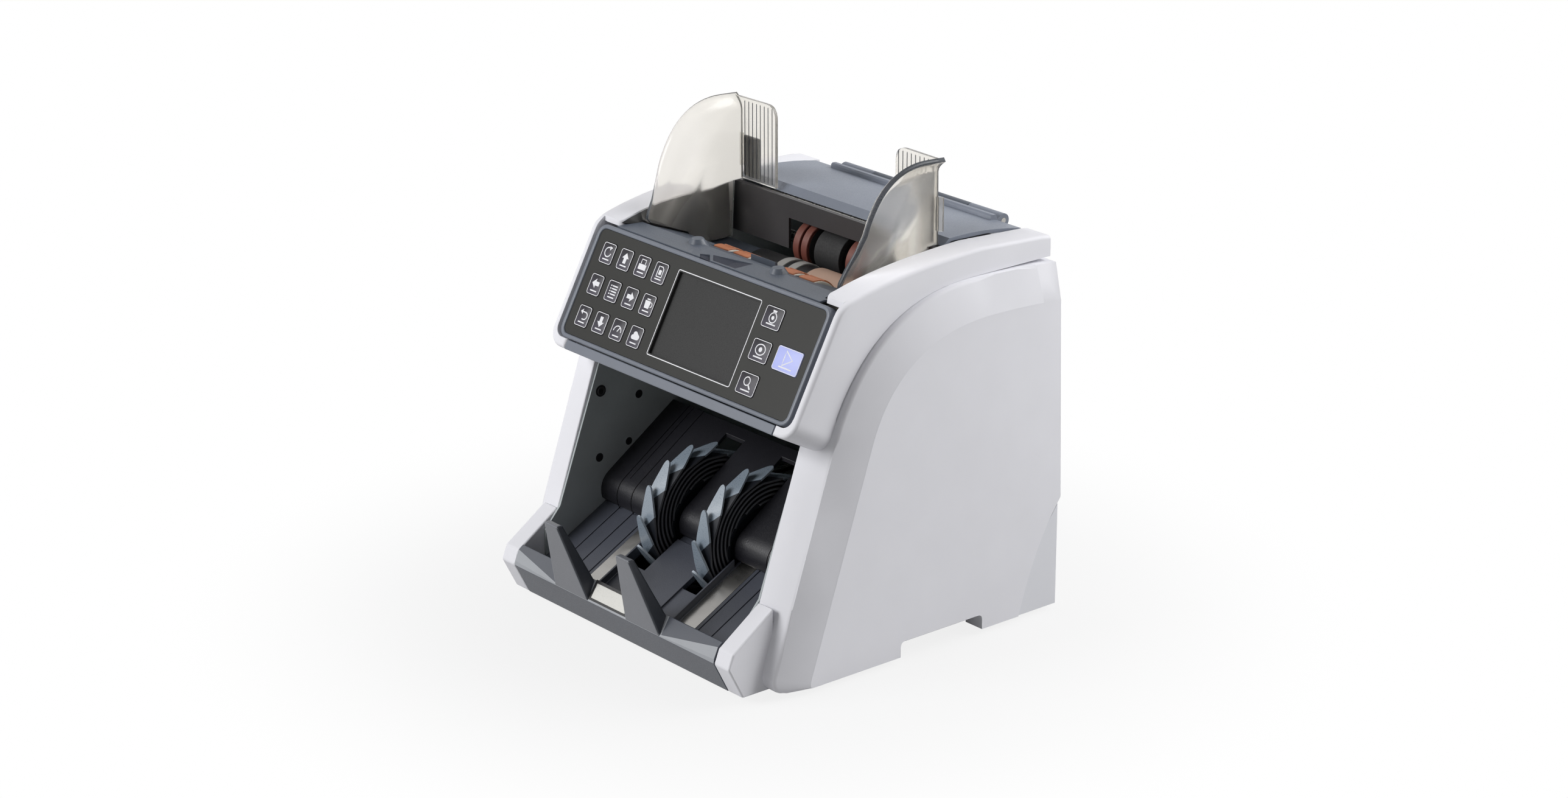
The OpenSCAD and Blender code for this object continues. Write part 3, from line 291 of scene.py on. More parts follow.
def curve(start, pull, end, steps):
    """Points from start to end on a curve drawn towards pull."""
    start, pull, end = Vector(start), Vector(pull), Vector(end)
    points = []
    for step in range(steps + 1):
        t = step / steps
        points.append(tuple((1 - t) ** 2 * start + 2 * t * (1 - t) * pull + t ** 2 * end))
    return points


def arc(centre, radius, start, end, steps):
    """Points on a circle between two angles in degrees."""
    points = []
    for step in range(steps + 1):
        angle = math.radians(start + (end - start) * step / steps)
        points.append((centre[0] + radius * math.cos(angle), centre[1] + radius * math.sin(angle)))
    return points


def box_outline(u0, v0, u1, v1):
    """Outline of a rectangle between two corners."""
    return ((u0, v0), (u1, v0), (u1, v1), (u0, v1))


def rounded_box(width, height, radius, at=(0, 0), steps=5):
    """Outline of a rectangle with round corners, from its lower right corner."""
    u = width / 2 - radius
    v = height / 2 - radius
    points = []
    for turn, (side, level) in enumerate(((u, -v), (u, v), (-u, v), (-u, -v))):
        points += arc((at[0] + side, at[1] + level), radius, 90 * turn - 90, 90 * turn, steps)
    return points


def rod(radius, start, end):
    """Profile of a solid rod along its axis."""
    return ((0, start), (radius, start), (radius, end), (0, end))


def sleeve(inner, outer, start, end):
    """Profile of a tube along its axis."""
    return ((inner, start), (outer, start), (outer, end), (inner, end), (inner, start))


def lean_y(y, z):
    """Carries a depth at the underside up the slope of the case's front edge."""
    return y + z * LEAN


def panel_point(v, n):
    """Side view of a point on the panel, as y and z."""
    y = PANEL_Y + v * math.cos(PANEL_TILT) - n * math.sin(PANEL_TILT)
    z = PANEL_Z + v * math.sin(PANEL_TILT) + n * math.cos(PANEL_TILT)
    return (y, z)


def spot(place):
    """A rounded place, for finding a corner again."""
    return tuple(round(value, 3) for value in place)


def near(value, target):
    """Whether a measure is the target, apart from rounding."""
    return abs(value - target) < 0.01


def solid(bm, points, step):
    """A closed solid: the face through points, drawn out by a step."""
    face = bm.faces.new([bm.verts.new(point) for point in points])
    grown = bmesh.ops.extrude_face_region(bm, geom=[face])["geom"]
    moved = [part for part in grown if isinstance(part, bmesh.types.BMVert)]
    bmesh.ops.translate(bm, verts=moved, vec=step)


def slab(bm, outline, x0, x1):
    """A side-view outline drawn across the case from x0 to x1."""
    solid(bm, [(x0, y, z) for y, z in outline], (x1 - x0, 0, 0))


def plate(bm, outline, n0, n1):
    """An outline in a face's own plane, drawn out between two heights."""
    solid(bm, [(u, v, n0) for u, v in outline], (0, 0, n1 - n0))


def ribbon(points, width):
    """Outline of a line of even width along a path."""
    path = [Vector(point) for point in points]
    left = []
    right = []
    for index, point in enumerate(path):
        along = (path[min(index + 1, len(path) - 1)] - path[max(index - 1, 0)]).normalized()
        side = Vector((-along.y, along.x)) * width / 2
        left.append(point + side)
        right.append(point - side)
    return [tuple(point) for point in left + right[::-1]]


def row_of(bm, places, closed=True):
    """A row of corners joined by edges."""
    corners = [bm.verts.new(place) for place in places]
    for pair in zip(corners, corners[1:]):
        bm.edges.new(pair)
    if closed:
        bm.edges.new((corners[-1], corners[0]))
    return corners


def grow(bm, corners, places, closed=True):
    """Extrudes a row of corners to new places and returns the new row."""
    pairs = list(zip(corners, corners[1:]))
    if closed:
        pairs.append((corners[-1], corners[0]))
    edges = [bm.edges.get(pair) for pair in pairs]
    grown = bmesh.ops.extrude_edge_only(bm, edges=edges)["geom"]
    fresh = {spot(part.co): part for part in grown if isinstance(part, bmesh.types.BMVert)}
    row = [fresh[spot(corner.co)] for corner in corners]
    for corner, place in zip(row, places):
        corner.co = place
    return row


def loft(bm, rows):
    """A closed solid through rows of corners, with a face on each end."""
    row = row_of(bm, rows[0])
    bm.faces.new(row)
    for places in rows[1:]:
        row = grow(bm, row, places)
    bm.faces.new(row)


def round_where(bm, test, radius, segments=3, steep=False):
    """Rounds the edges whose two ends both pass a test, or only the steep ones among them."""
    edges = [edge for edge in bm.edges if all(test(corner.co) for corner in edge.verts)]
    if steep:
        edges = [edge for edge in edges if len(edge.link_faces) == 2 and edge.calc_face_angle() > 1]
    bmesh.ops.bevel(bm, geom=edges, offset=radius, offset_type="OFFSET", segments=segments, profile=0.5,
                    affect="EDGES", clamp_overlap=True, material=-1)


def turned(bm, profile, axis_at, steps=48, side=1):
    """Spins a profile of (radius, along) points once round an axis that points right, or left."""
    direction = Vector((side, 0, 0))
    out = direction.orthogonal().normalized()
    centre = Vector(axis_at)
    corners = [bm.verts.new(centre + out * radius + direction * along) for radius, along in profile]
    edges = [bm.edges.new(pair) for pair in zip(corners, corners[1:])]
    bmesh.ops.spin(bm, geom=corners + edges, cent=centre, axis=direction, angle=math.tau, steps=steps,
                   use_merge=True, use_duplicate=False)
    bmesh.ops.remove_doubles(bm, verts=bm.verts, dist=1e-5)


def mirrored(bm, side):
    """The mesh itself, or its mirror image for the left side."""
    if side < 0:
        bmesh.ops.scale(bm, vec=(-1, 1, 1), verts=bm.verts)
    return bm


def mesh_of(name, bm):
    """Turns what was drawn into mesh data."""
    mesh = bpy.data.meshes.new(name)
    bm.to_mesh(mesh)
    bm.free()
    return mesh


def put(name, data):
    """A new object in the scene."""
    obj = bpy.data.objects.new(name, data)
    bpy.context.scene.collection.objects.link(obj)
    return obj


def piece(name, bm, materials, body="case", replaced=(), place=TO_MODEL, rounding=0, segments=2,
          sharp=32, wall=0, rim=0):
    """Turns a mesh into a finished piece that rides on a body."""
    bmesh.ops.recalc_face_normals(bm, faces=bm.faces)
    bm.transform(place)
    mesh = mesh_of(name, bm)
    mesh.polygons.foreach_set("use_smooth", [True] * len(mesh.polygons))
    mesh.set_sharp_from_angle(angle=math.radians(sharp))
    for material in materials:
        mesh.materials.append(material)
    obj = put(name, mesh)
    if wall:
        thick = obj.modifiers.new("wall", "SOLIDIFY")
        thick.thickness = wall / 1000
        thick.offset = 0
        thick.use_even_offset = True
        thick.material_offset_rim = rim
    if rounding:
        soft = obj.modifiers.new("rounding", "BEVEL")
        soft.width = rounding / 1000
        soft.segments = segments
        soft.limit_method = "ANGLE"
        soft.angle_limit = math.radians(28)
        soft.harden_normals = True
    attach(obj, body)
    if replaced:
        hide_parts(*replaced)
    return obj


def rounded_node(node):
    """A copy of a CAD node with rounded edges, shown in its place."""
    bm = bmesh.new()
    bm.from_mesh(nodes[node].data)
    bmesh.ops.remove_doubles(bm, verts=bm.verts, dist=2e-6)
    bmesh.ops.dissolve_limit(bm, angle_limit=math.radians(0.6), verts=bm.verts, edges=bm.edges)
    return piece(node + "_look", bm, [finish_of(node)], nodes[node]["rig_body"], [node],
                 Matrix(), rounding=0.6, sharp=30)


for node, obj in nodes.items():
    obj.data.materials.clear()
    obj.data.materials.append(finish_of(node))

for node in ("rear_cover", "stacker_tray", "stacker_bed", "lid"):
    rounded_node(node)

# The ledge's sideways faces beyond this distance from the middle, in metres, are black: painted shade on the
# tub's slate side walls
PAINTED_SHADE_TUB_X = 0.1026
ledge = rounded_node("hopper_ledge")
ledge.data.materials.append(BLACK)
for face in ledge.data.polygons:
    face.material_index = int(abs(face.center.x) > PAINTED_SHADE_TUB_X and abs(face.normal.x) > 0.5)


def ledge_cap():
    """Top skin of the ledge with its finger recess, whose facets are painted darker as shade, and the
    upstand between the roller's pads.
    """
    low = 250.6
    high = 251.6
    tiles = (
        ((-107, 70.1), (-16.8, 70.1), (-16.6, 70.4), (-21.4, 74.2), (-15.9, 78.2), (-14, 79.5), (18.4, 87.5),
         (18.4, 89.5), (-107, 89.5)),
        ((-15.9, 78.2), (-6.2, 70.4), (-6.2, 70.1), (-4, 70.1), (-4.5, 71.6), (-14, 79.5)),
        ((-4, 70.1), (107, 70.1), (107, 89.5), (18.4, 89.5), (18.4, 72), (-4.5, 71.6)))
    bm = bmesh.new()
    for tile in tiles:
        plate(bm, tile, low, high)
    slab(bm, ((111, 240), (111, 246.6), (113, 245.8), (113, 240)), -12.5, 13)
    piece("ledge_cap", bm, [SLATE])

    # Finger recess facets: a darker slate, painted shade in the recess
    bm = bmesh.new()
    facets = (
        ((-21.4, 74.2, 251.3), (-16.6, 70.4, 251.3), (-6.2, 70.4, 250.7), (-15.9, 78.2, 250.7)),
        ((-14, 79.5, 251.5), (-4.5, 71.6, 251.2), (7, 71.8, 250.7), (6, 84.4, 250.7)),
        ((7, 71.8, 250.7), (18.4, 72, 251.5), (18.4, 87.5, 251.5), (6, 84.4, 250.7)))
    for facet in facets:
        solid(bm, facet, (0, 0, -0.6))
    piece("ledge_recess", bm, [RECESS_PAINTED_SHADE])


ledge_cap()


# Side covers and columns

NOTCH_FRONT = 114
NOTCH_REAR = 188
NOTCH_TOP = 11
NOTCH_CORNER = 4


def rear_at(z):
    """Rear edge of a side cover, which leans forward as it rises."""
    return 262 - 8 * z / RIDGE_TOP


def cover_loop(x, front, top, crown, corner, inset):
    """Side-view outline of a side cover at one depth, drawn in by its wall."""
    low = inset
    high = top - inset
    foot = front + inset
    points = curve((foot + corner, low), (lean_y(foot, low), low),
                   (lean_y(foot, low + corner), low + corner), 8)
    points += [(lean_y(foot, z), z) for z in (57.5, 110)]
    points += curve((lean_y(foot, BEND_Z), BEND_Z), (lean_y(foot, high), high), (crown, high), 20)
    rear = rear_at(high) - inset
    points += [(crown + (rear - crown) * share, high - 3 * share ** 2) for share in (0.25, 0.5, 0.75, 1)]
    points += curve((rear_at(SEAM_Z) - inset, SEAM_Z), (236 - inset, 50), (222 - inset, low), 12)
    behind = NOTCH_REAR + inset
    ahead = NOTCH_FRONT - inset
    roof = NOTCH_TOP + inset
    points += [(behind, low)]
    points += curve((behind, roof - NOTCH_CORNER), (behind, roof), (behind - NOTCH_CORNER, roof), 4)
    points += curve((ahead + NOTCH_CORNER, roof), (ahead, roof), (ahead, roof - NOTCH_CORNER), 4)
    points += [(ahead, low)]
    return [(x, y, z) for y, z in points]


def column(bm):
    """Front column beside the stacker, leaning with the cover's front edge."""
    low = 48
    high = 176
    front = -3.5
    section = ((COLUMN_X, front), (SHOULDER_X, 0.55), (SHOULDER_X, 8), (COLUMN_X, 9))
    solid(bm, [(x, lean_y(y, low), low) for x, y in section], (0, (high - low) * LEAN, high - low))
    round_where(bm, lambda co: near(co.x, COLUMN_X) and near(co.y, lean_y(front, co.z)), 1.4)


def side_cover(node, side):
    """Side cover as a shell: inner faces, round the shoulder, then bevel and flank, with its column."""
    bm = bmesh.new()
    wall = 3
    shoulder = (0.55, RIDGE_TOP, 180, 22)
    ridge = (3.9, RIDGE_TOP, 180, 16)
    flat = (33.9, 224.5, 192, 5)
    loft(bm, [cover_loop(FLANK_X - wall, *flat, wall), cover_loop(BEVEL_X - wall, *ridge, wall),
              cover_loop(SHOULDER_X, *shoulder, wall), cover_loop(SHOULDER_X, *shoulder, 0),
              cover_loop(BEVEL_X, *ridge, 0), cover_loop(FLANK_X, *flat, 0)])
    flank_radius = 1.3
    for x, radius in ((BEVEL_X, 2.2), (FLANK_X, flank_radius)):
        round_where(bm, lambda co: near(co.x, x) and co.z > 0.1 and co.y < 252 and (co.z > 90 or co.y < 90),
                    radius)
    round_where(bm, lambda co: near(co.x, FLANK_X) and 0.1 < co.z < SEAM_Z + 0.1 and co.y > 200,
                flank_radius)
    column(bm)
    piece(node + "_look", mirrored(bm, side), [WHITE], replaced=[node])


side_cover("right_side_cover", 1)
side_cover("left_side_cover", -1)


def front_base():
    """White foot under each column and the beam between them."""
    bm = bmesh.new()
    foot = ((-10, 1), (-22, 24), (-18, 34), (16.1, 57.4), (16.1, 1))
    outer = 125
    slab(bm, foot, COLUMN_X, outer)
    slab(bm, foot, -outer, -COLUMN_X)
    slab(bm, ((-8, 1), (-8, 8), (4, 8), (4, 1)), -COLUMN_X, COLUMN_X)
    piece("front_base_look", bm, [WHITE], replaced=["front_base"], rounding=1.4, segments=3)


front_base()


def painted_shade_sheet():
    """Dark sheet under the pan's openings for the stacker wheels, put where there is only shade: painted
    shade.
    """
    bm = bmesh.new()
    # A black sheet stands in for the shade under the openings
    slab(bm, ((54, -1.6), (54, -0.4), (106, -0.4), (106, -1.6)), -48, 48)
    piece("painted_shade_sheet", bm, [BLACK])


painted_shade_sheet()


def bed_lines():
    """Fine seams that run over the stacker bed's nose and up its slope."""
    rise = math.tan(math.radians(34.3))
    half = 0.35
    path = [(55, 52.6), (53.4, 56)] + curve((53.4, 56), (50.4, 68), (59.8, 73.1 + 2 * rise), 8)[1:]
    path += [(118, 73.1 + 60.2 * rise)]
    bm = bmesh.new()
    for x in (-89.5, -73.6, 73.6, 89.5):
        slab(bm, ribbon(path, 0.16), x - half, x + half)
    piece("bed_lines", bm, [BED_LINE])


bed_lines()


def wall_hole_shade_and_screws():
    """Black discs that paint the shade of the holes in the stacker's side walls, and the ring-headed screw
    near their top.
    """
    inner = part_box("right_side_plate")[0].x * 1000
    ring = ((2, -0.4), (2, -1.2), (3.2, -1.2), (3.2, -0.4), (2, -0.4))
    bm = bmesh.new()
    rings = bmesh.new()
    for side in (-1, 1):
        # Black discs on the walls: painted shade for the holes
        for y, z, radius in ((87.5, 125, 3.1), (52, 86, 3.2), (78, 92, 2.8)):
            turned(bm, rod(radius, 0, -0.08), (side * inner, y, z), 24, side)
        screw_at = (side * inner, 54, 135)
        turned(bm, rod(4.2, 0, -0.5), screw_at, 32, side)
        turned(rings, ring, screw_at, 32, side)
    piece("wall_hole_shade_and_screws", bm, [BLACK])
    piece("wall_rings", rings, [RUBBER], rounding=0.3)


wall_hole_shade_and_screws()


# White rim, shoulder and cheek: one moulding each side of hopper and panel

RIM_IN = 107.5
RIM_OUT = 123.4
RIM_FRONT = 73.4
RIM_CORNER = 8
BAND_X = 130.5
BAND_LOW = 250.7
BAND_RADIUS = 2.6
CHEEK_IN = 125.6
CHEEK_LOW = -34.3
CHEEK_TOP = 0.8
CHEEK_BACK = -34
CHEEK_RADIUS = 0.7
VALLEY_FRONT = 1.57
RIM_END = 253
RIM_LINE = curve((74, 254.4), (112, 266.6), (190, 269), 18) + [(246, 266), (RIM_END, 264.8)]


def band(side, name, replaced):
    """Outer band from the panel's cheek to the rear, and the rim between it and the hopper."""
    bm = bmesh.new()
    corner = curve(panel_point(36, CHEEK_TOP), panel_point(44.4, CHEEK_TOP), (82, 256.7), 6)
    line = [panel_point(CHEEK_LOW, CHEEK_TOP)] + corner + [point for point in RIM_LINE if point[0] > 84]
    valley = curve((180, BAND_LOW), (lean_y(VALLEY_FRONT, BAND_LOW), BAND_LOW),
                   (lean_y(VALLEY_FRONT, BEND_Z), BEND_Z), 16)
    valley = [point for point in valley if point[1] > 170]
    outline = [panel_point(CHEEK_LOW, CHEEK_BACK)] + line + [(RIM_END, BAND_LOW)] + valley
    slab(bm, outline, CHEEK_IN, BAND_X)
    outer = {spot((BAND_X, y, z)) for y, z in line}
    round_where(bm, lambda co: spot(co) in outer, BAND_RADIUS, 4)
    inner = {spot((CHEEK_IN, y, z)) for y, z in line[:3]}
    round_where(bm, lambda co: spot(co) in inner, CHEEK_RADIUS, 2)

    slab(bm, RIM_LINE + [(RIM_END, 250.8), (RIM_FRONT, 250.8)], RIM_OUT, CHEEK_IN)

    rim = bmesh.new()
    slab(rim, RIM_LINE + [(RIM_END, 246), (81, 246.5), (RIM_FRONT, 250.6)], RIM_IN, RIM_OUT)
    round_where(rim, lambda co: near(co.x, RIM_IN) and co.y < 75, RIM_CORNER, 5)
    round_where(rim, lambda co: co.x < RIM_IN + RIM_CORNER + 0.1 and co.z > 253 and co.y < RIM_END - 1,
                1.1, 2, steep=True)
    rim.normal_update()
    mesh = mesh_of("rim", rim)
    bm.from_mesh(mesh)
    bpy.data.meshes.remove(mesh)
    piece(name, mirrored(bm, side), [WHITE], replaced=replaced)


def cheek_foot(side, name):
    """Rounded lower end of the cheek, with its toe under the bezel's corner."""
    bm = bmesh.new()
    toe = 111.5
    bend = -36.4
    outer_radius = 12.5
    inner_radius = 7.7
    outline = [(CHEEK_IN, CHEEK_LOW), (BAND_X, CHEEK_LOW), (BAND_X, bend)]
    outline += arc((BAND_X - outer_radius, bend), outer_radius, 0, -90, 8)[1:]
    outline += [(toe, bend - outer_radius), (toe, CHEEK_LOW - inner_radius)]
    outline += arc((CHEEK_IN - inner_radius, CHEEK_LOW), inner_radius, -90, 0, 6)[:-1]
    plate(bm, outline, CHEEK_BACK, CHEEK_TOP)
    rim = {spot((u, v, CHEEK_TOP)) for u, v in outline[1:13]}
    round_where(bm, lambda co: spot(co) in rim, BAND_RADIUS, 4)
    round_where(bm, lambda co: near(co.z, CHEEK_TOP) and co.x < CHEEK_IN + 0.1 and co.y > -42.1,
                CHEEK_RADIUS, 2)
    piece(name, mirrored(bm, side), [WHITE], place=PANEL)


band(1, "right_band", ["top_frame", "front_housing"])
band(-1, "left_band", [])
cheek_foot(1, "right_cheek_foot")
cheek_foot(-1, "left_cheek_foot")


def hinge_rail():
    """Rear bar of the rim with the two arms that carry the lid's pin."""
    bm = bmesh.new()
    slab(bm, ((247, 246), (247, 255), (253, 255), (253, 246)), -108, 108)
    piece("hinge_rail", bm, [WHITE], rounding=0.5)
    half = 16
    pin_y = 255
    pin_z = 263.6
    bm = bmesh.new()
    for x in (-33, 33):
        slab(bm, ((251, 250), (251, pin_z), (pin_y, pin_z), (pin_y, 250)), x - half, x + half)
        turned(bm, rod(5, -half, half), (x, pin_y, pin_z), 32)
    piece("hinge_arms", bm, [SLATE], rounding=0.5)


hinge_rail()


# Control panel

def panel_bezel():
    """Slate ring round the overlay and the strip under it."""
    bm = bmesh.new()
    outer = rounded_box(245.2, 83.0, 8)
    inner = rounded_box(238.4, 76.8, 5)
    back = -9
    face = 0.9
    loops = ((outer, back), (outer, face), (inner, face), (inner, -2.2), (inner, back))
    first = row_of(bm, [(u, v, loops[0][1]) for u, v in loops[0][0]])
    row = first
    for outline, n in loops[1:]:
        row = grow(bm, row, [(u, v, n) for u, v in outline])
    bottom = [bm.edges.get(pair) for pair in zip(first + row, first[1:] + first[:1] + row[1:] + row[:1])]
    bmesh.ops.bridge_loops(bm, edges=bottom)
    round_where(bm, lambda co: near(co.z, face), 1.0, steep=True)
    piece("panel_bezel_look", bm, [BEZEL], replaced=["panel_bezel"], place=PANEL)

    bm = bmesh.new()
    plate(bm, box_outline(-111.2, -49, 111.2, -42.2), -8, 0.3)
    piece("panel_strip", bm, [BEZEL], place=PANEL, rounding=0.6)


panel_bezel()


def print_fill(bm, points, height):
    """A filled shape printed on a face."""
    plate(bm, points, height, height + 0.05)


def print_line(bm, points, width, height):
    """A line of even width along a path."""
    print_fill(bm, ribbon(points, width), height)


def symbol_arrow(turn):
    """Draws a plain arrow that points up, turned by quarter turns."""
    points = ((0, 2.6), (2.3, 0.1), (1.0, 0.1), (1.0, -2.4), (-1.0, -2.4), (-1.0, 0.1), (-2.3, 0.1))
    angle = math.radians(90 * turn)
    turned_points = [(u * math.cos(angle) - v * math.sin(angle), u * math.sin(angle) + v * math.cos(angle))
                     for u, v in points]
    return lambda bm, n: print_fill(bm, turned_points, n)


def symbol_loop(bm, n):
    """An open ring with an arrow head."""
    print_line(bm, arc((0, 0), 2.2, 60, 350, 16), 0.55, n)
    print_fill(bm, ((0.2, 2.9), (2.3, 2.5), (0.9, 0.9)), n)


def symbol_sheet(bm, n):
    """A machine with a sheet above it."""
    print_fill(bm, box_outline(-2.6, -2.2, 2.6, 0.4), n)
    print_line(bm, ((-1.5, 0.6), (-1.5, 2.6), (1.5, 2.6), (1.5, 0.6)), 0.45, n)


def symbol_page(bm, n):
    """A page with a turned corner."""
    print_line(bm, ((-1.8, -2.4), (-1.8, 2.4), (0.8, 2.4), (1.8, 1.4), (1.8, -2.4), (-1.9, -2.4)), 0.5, n)
    print_fill(bm, box_outline(-0.9, -1.4, 0.9, 0.8), n)


def symbol_list(bm, n):
    """Four lines, each with a dot before it."""
    half = 0.3
    for level in (1.9, 0.6, -0.7, -2.0):
        for start, end in ((-2.4, -1.6), (-1.1, 2.5)):
            print_fill(bm, box_outline(start, level - half, end, level + half), n)


def symbol_pot(bm, n):
    """A mug with its handle and rim."""
    print_fill(bm, ((-2.2, 1.4), (-1.7, -2.2), (1.3, -2.2), (1.8, 1.4)), n)
    print_line(bm, arc((1.9, -0.2), 1.1, -80, 80, 8), 0.45, n)
    print_fill(bm, box_outline(-1.4, 1.8, 1.0, 2.4), n)


def symbol_back(bm, n):
    """An arrow that bends back to the left."""
    print_line(bm, [(-0.4, -2.0), (0.9, -2.0)] + arc((0.9, -0.3), 1.7, -80, 90, 10) + [(-1.2, 1.4)], 0.55, n)
    print_fill(bm, ((-2.7, 1.4), (-1.1, 2.7), (-1.1, 0.1)), n)


def symbol_gauge(bm, n):
    """A half dial with its needle."""
    print_line(bm, arc((0, -1.4), 2.6, 0, 180, 14), 0.5, n)
    print_line(bm, ((0, -1.4), (1.2, 0.6)), 0.5, n)


def symbol_cloud(bm, n):
    """Three lobes on a flat base."""
    outline = arc((-1.5, -0.8), 1.1, 270, 90, 6) + arc((-0.2, 0.5), 1.5, 160, 30, 6)
    outline += arc((1.6, -0.5), 1.3, 80, -90, 6)
    print_fill(bm, outline, n)


def symbol_bag(bm, n):
    """A round bag with its neck and a dot."""
    print_line(bm, arc((0, -0.6), 2.3, 75, 465, 20), 0.5, n)
    print_fill(bm, ((-0.9, 1.7), (0.9, 1.7), (1.4, 2.9), (-1.4, 2.9)), n)
    print_fill(bm, arc((0, -0.6), 0.9, 0, 350, 12), n)


def symbol_oval(bm, n):
    """An oval ring with a dot."""
    oval = [(u * 1.3, v) for u, v in arc((0, 0), 2.4, 0, 359, 24)]
    print_line(bm, oval, 0.5, n)
    print_fill(bm, arc((0, 0), 1.1, 0, 350, 14), n)


def symbol_lens(bm, n):
    """A magnifying glass."""
    print_line(bm, arc((-0.6, 0.6), 1.9, 0, 359, 20), 0.5, n)
    print_line(bm, ((0.8, -0.8), (2.6, -2.6)), 0.75, n)


def symbol_start(bm, n):
    """An open triangle that points right."""
    print_line(bm, ((-2.4, 0.1), (-2.4, 3.4), (3.0, 0), (-2.4, -3.4), (-2.4, 0)), 0.7, n)


KEY_TOP = 0.5
KEY_HEIGHT = 15
KEY_ROW = 23.1
SYMBOL_SCALE = 1.5
BAR_HEIGHT = 0.9


def key_cap(node, at, width, height, symbol, material):
    """A key with its face, and the light outline, symbol and bar printed on it."""
    bm = bmesh.new()
    plate(bm, rounded_box(width, height, 1.8), -3, KEY_TOP)
    round_where(bm, lambda co: near(co.z, KEY_TOP), 0.4, 2)
    across = bm.loops.layers.uv.new("key")
    for face in bm.faces:
        for corner in face.loops:
            co = corner.vert.co
            corner[across].uv = (co.x / width + 0.5, co.y / height + 0.5)
    shift = PANEL @ Matrix.Translation((at[0], at[1], 0))
    body = nodes[node]["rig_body"]
    piece(node + "_look", bm, [material], body, [node], shift)

    bm = bmesh.new()
    symbol(bm, KEY_TOP)
    bmesh.ops.scale(bm, vec=(SYMBOL_SCALE, SYMBOL_SCALE, 1), verts=bm.verts)
    bmesh.ops.translate(bm, vec=(0, 0.9, 0), verts=bm.verts)
    edge = rounded_box(width - 0.9, height - 0.9, 1.6)
    print_line(bm, edge + edge[:1], 0.45, KEY_TOP)
    foot = 2.6 - height / 2
    reach = width / 4
    print_fill(bm, box_outline(-reach, foot, reach, foot + BAR_HEIGHT), KEY_TOP)
    piece(node + "_print", bm, [INK], body, (), shift)


SMALL_SYMBOLS = (symbol_loop, symbol_arrow(0), symbol_sheet, symbol_page,
                 symbol_arrow(1), symbol_list, symbol_arrow(3), symbol_pot,
                 symbol_back, symbol_arrow(2), symbol_gauge, symbol_cloud)
for index, symbol in enumerate(SMALL_SYMBOLS):
    place = (-104.4 + 19.27 * (index % 4), 22.8 - KEY_ROW * (index // 4))
    key_cap("key_%d" % (index + 1), place, 13.4, KEY_HEIGHT, symbol, KEY)
for index, symbol in enumerate((symbol_bag, symbol_oval, symbol_lens)):
    key_cap("wide_key_%d" % (index + 1), (73, 21.8 - KEY_ROW * index), 18.2, KEY_HEIGHT, symbol, KEY)
key_cap("start_key", (100.5, -0.8), 25, 16.5, symbol_start, START)


def display():
    """Recessed glass with a pale line round its opening."""
    middle = (13.65, -0.5)
    bm = bmesh.new()
    opening = rounded_box(86.6, 60.2, 1.2, middle)
    sill = rounded_box(84.8, 58.4, 0.8, middle)
    loft(bm, [[(u, v, n) for u, v in outline]
              for outline, n in ((opening, -3), (opening, -0.1), (sill, -0.1), (sill, -2.2))])
    piece("display_glass", bm, [SCREEN], replaced=["display_module"], place=PANEL)

    bm = bmesh.new()
    edge = rounded_box(87.2, 60.8, 1.4, middle)
    print_line(bm, edge + edge[:1], 0.6, 0.02)
    piece("display_line", bm, [INK], place=PANEL)


display()


# Stacker wheels: radii and sides in millimetres, turns in degrees behind a blade's tip

WHEEL_Y = 80
WHEEL_Z = 57.5
BLADES = 15
TIP_ANGLE = 69.5
TIP_R = 52.6
LEAF_R = 47.4
ROOT_R = 30
LEAF_TURN = 22
ROOT_TURN = 145
# Turns where the pale leaf begins: the painted reflection starts on a slant between them
REFLECTION_LEFT = 39
REFLECTION_RIGHT = 22
BLADE_LEFT = -8
BLADE_RIGHT = 6.6
COIL_STEPS = 26
LEAF_SHARES = (0, 0.15, 0.3, 0.5, 0.68, 0.82, 0.91, 0.96, 0.985, 1)


def around(radius, degrees):
    """Side view of a point round the wheel's axis."""
    angle = math.radians(degrees)
    return Vector((radius * math.cos(angle), radius * math.sin(angle)))


def blade_point(turn):
    """Side view of a blade, by the angle behind its tip: a straight leaf, then a slow coil."""
    if turn > LEAF_TURN:
        inward = (LEAF_R - ROOT_R) * (turn - LEAF_TURN) / (ROOT_TURN - LEAF_TURN)
        return around(LEAF_R - inward, TIP_ANGLE + turn)
    return around(TIP_R, TIP_ANGLE).lerp(around(LEAF_R, TIP_ANGLE + LEAF_TURN), turn / LEAF_TURN)


def leaf_sides(share):
    """Left and right edge of a leaf, which narrows to a round tip on the left."""
    left = BLADE_LEFT + 1.6 * share
    right = BLADE_RIGHT - 9.2 * share ** 1.1
    closing = max(0, (share - 0.9) / 0.1)
    middle = (left + right) / 2
    half = (right - left) / 2 * math.sqrt(max(0.02, 1 - closing ** 2))
    return middle - half, middle + half


def blade_rows():
    """Corner pairs of one blade about the wheel's axis; the leaf's painted reflection starts on a slant."""
    rows = []
    for step in range(COIL_STEPS):
        at = blade_point(ROOT_TURN + (REFLECTION_LEFT - ROOT_TURN) * step / COIL_STEPS)
        rows.append(((BLADE_LEFT, *at), (BLADE_RIGHT, *at)))
    for share in LEAF_SHARES:
        left, right = leaf_sides(share)
        rows.append(((left, *blade_point(REFLECTION_LEFT * (1 - share))),
                     (right, *blade_point(REFLECTION_RIGHT * (1 - share)))))
    return rows


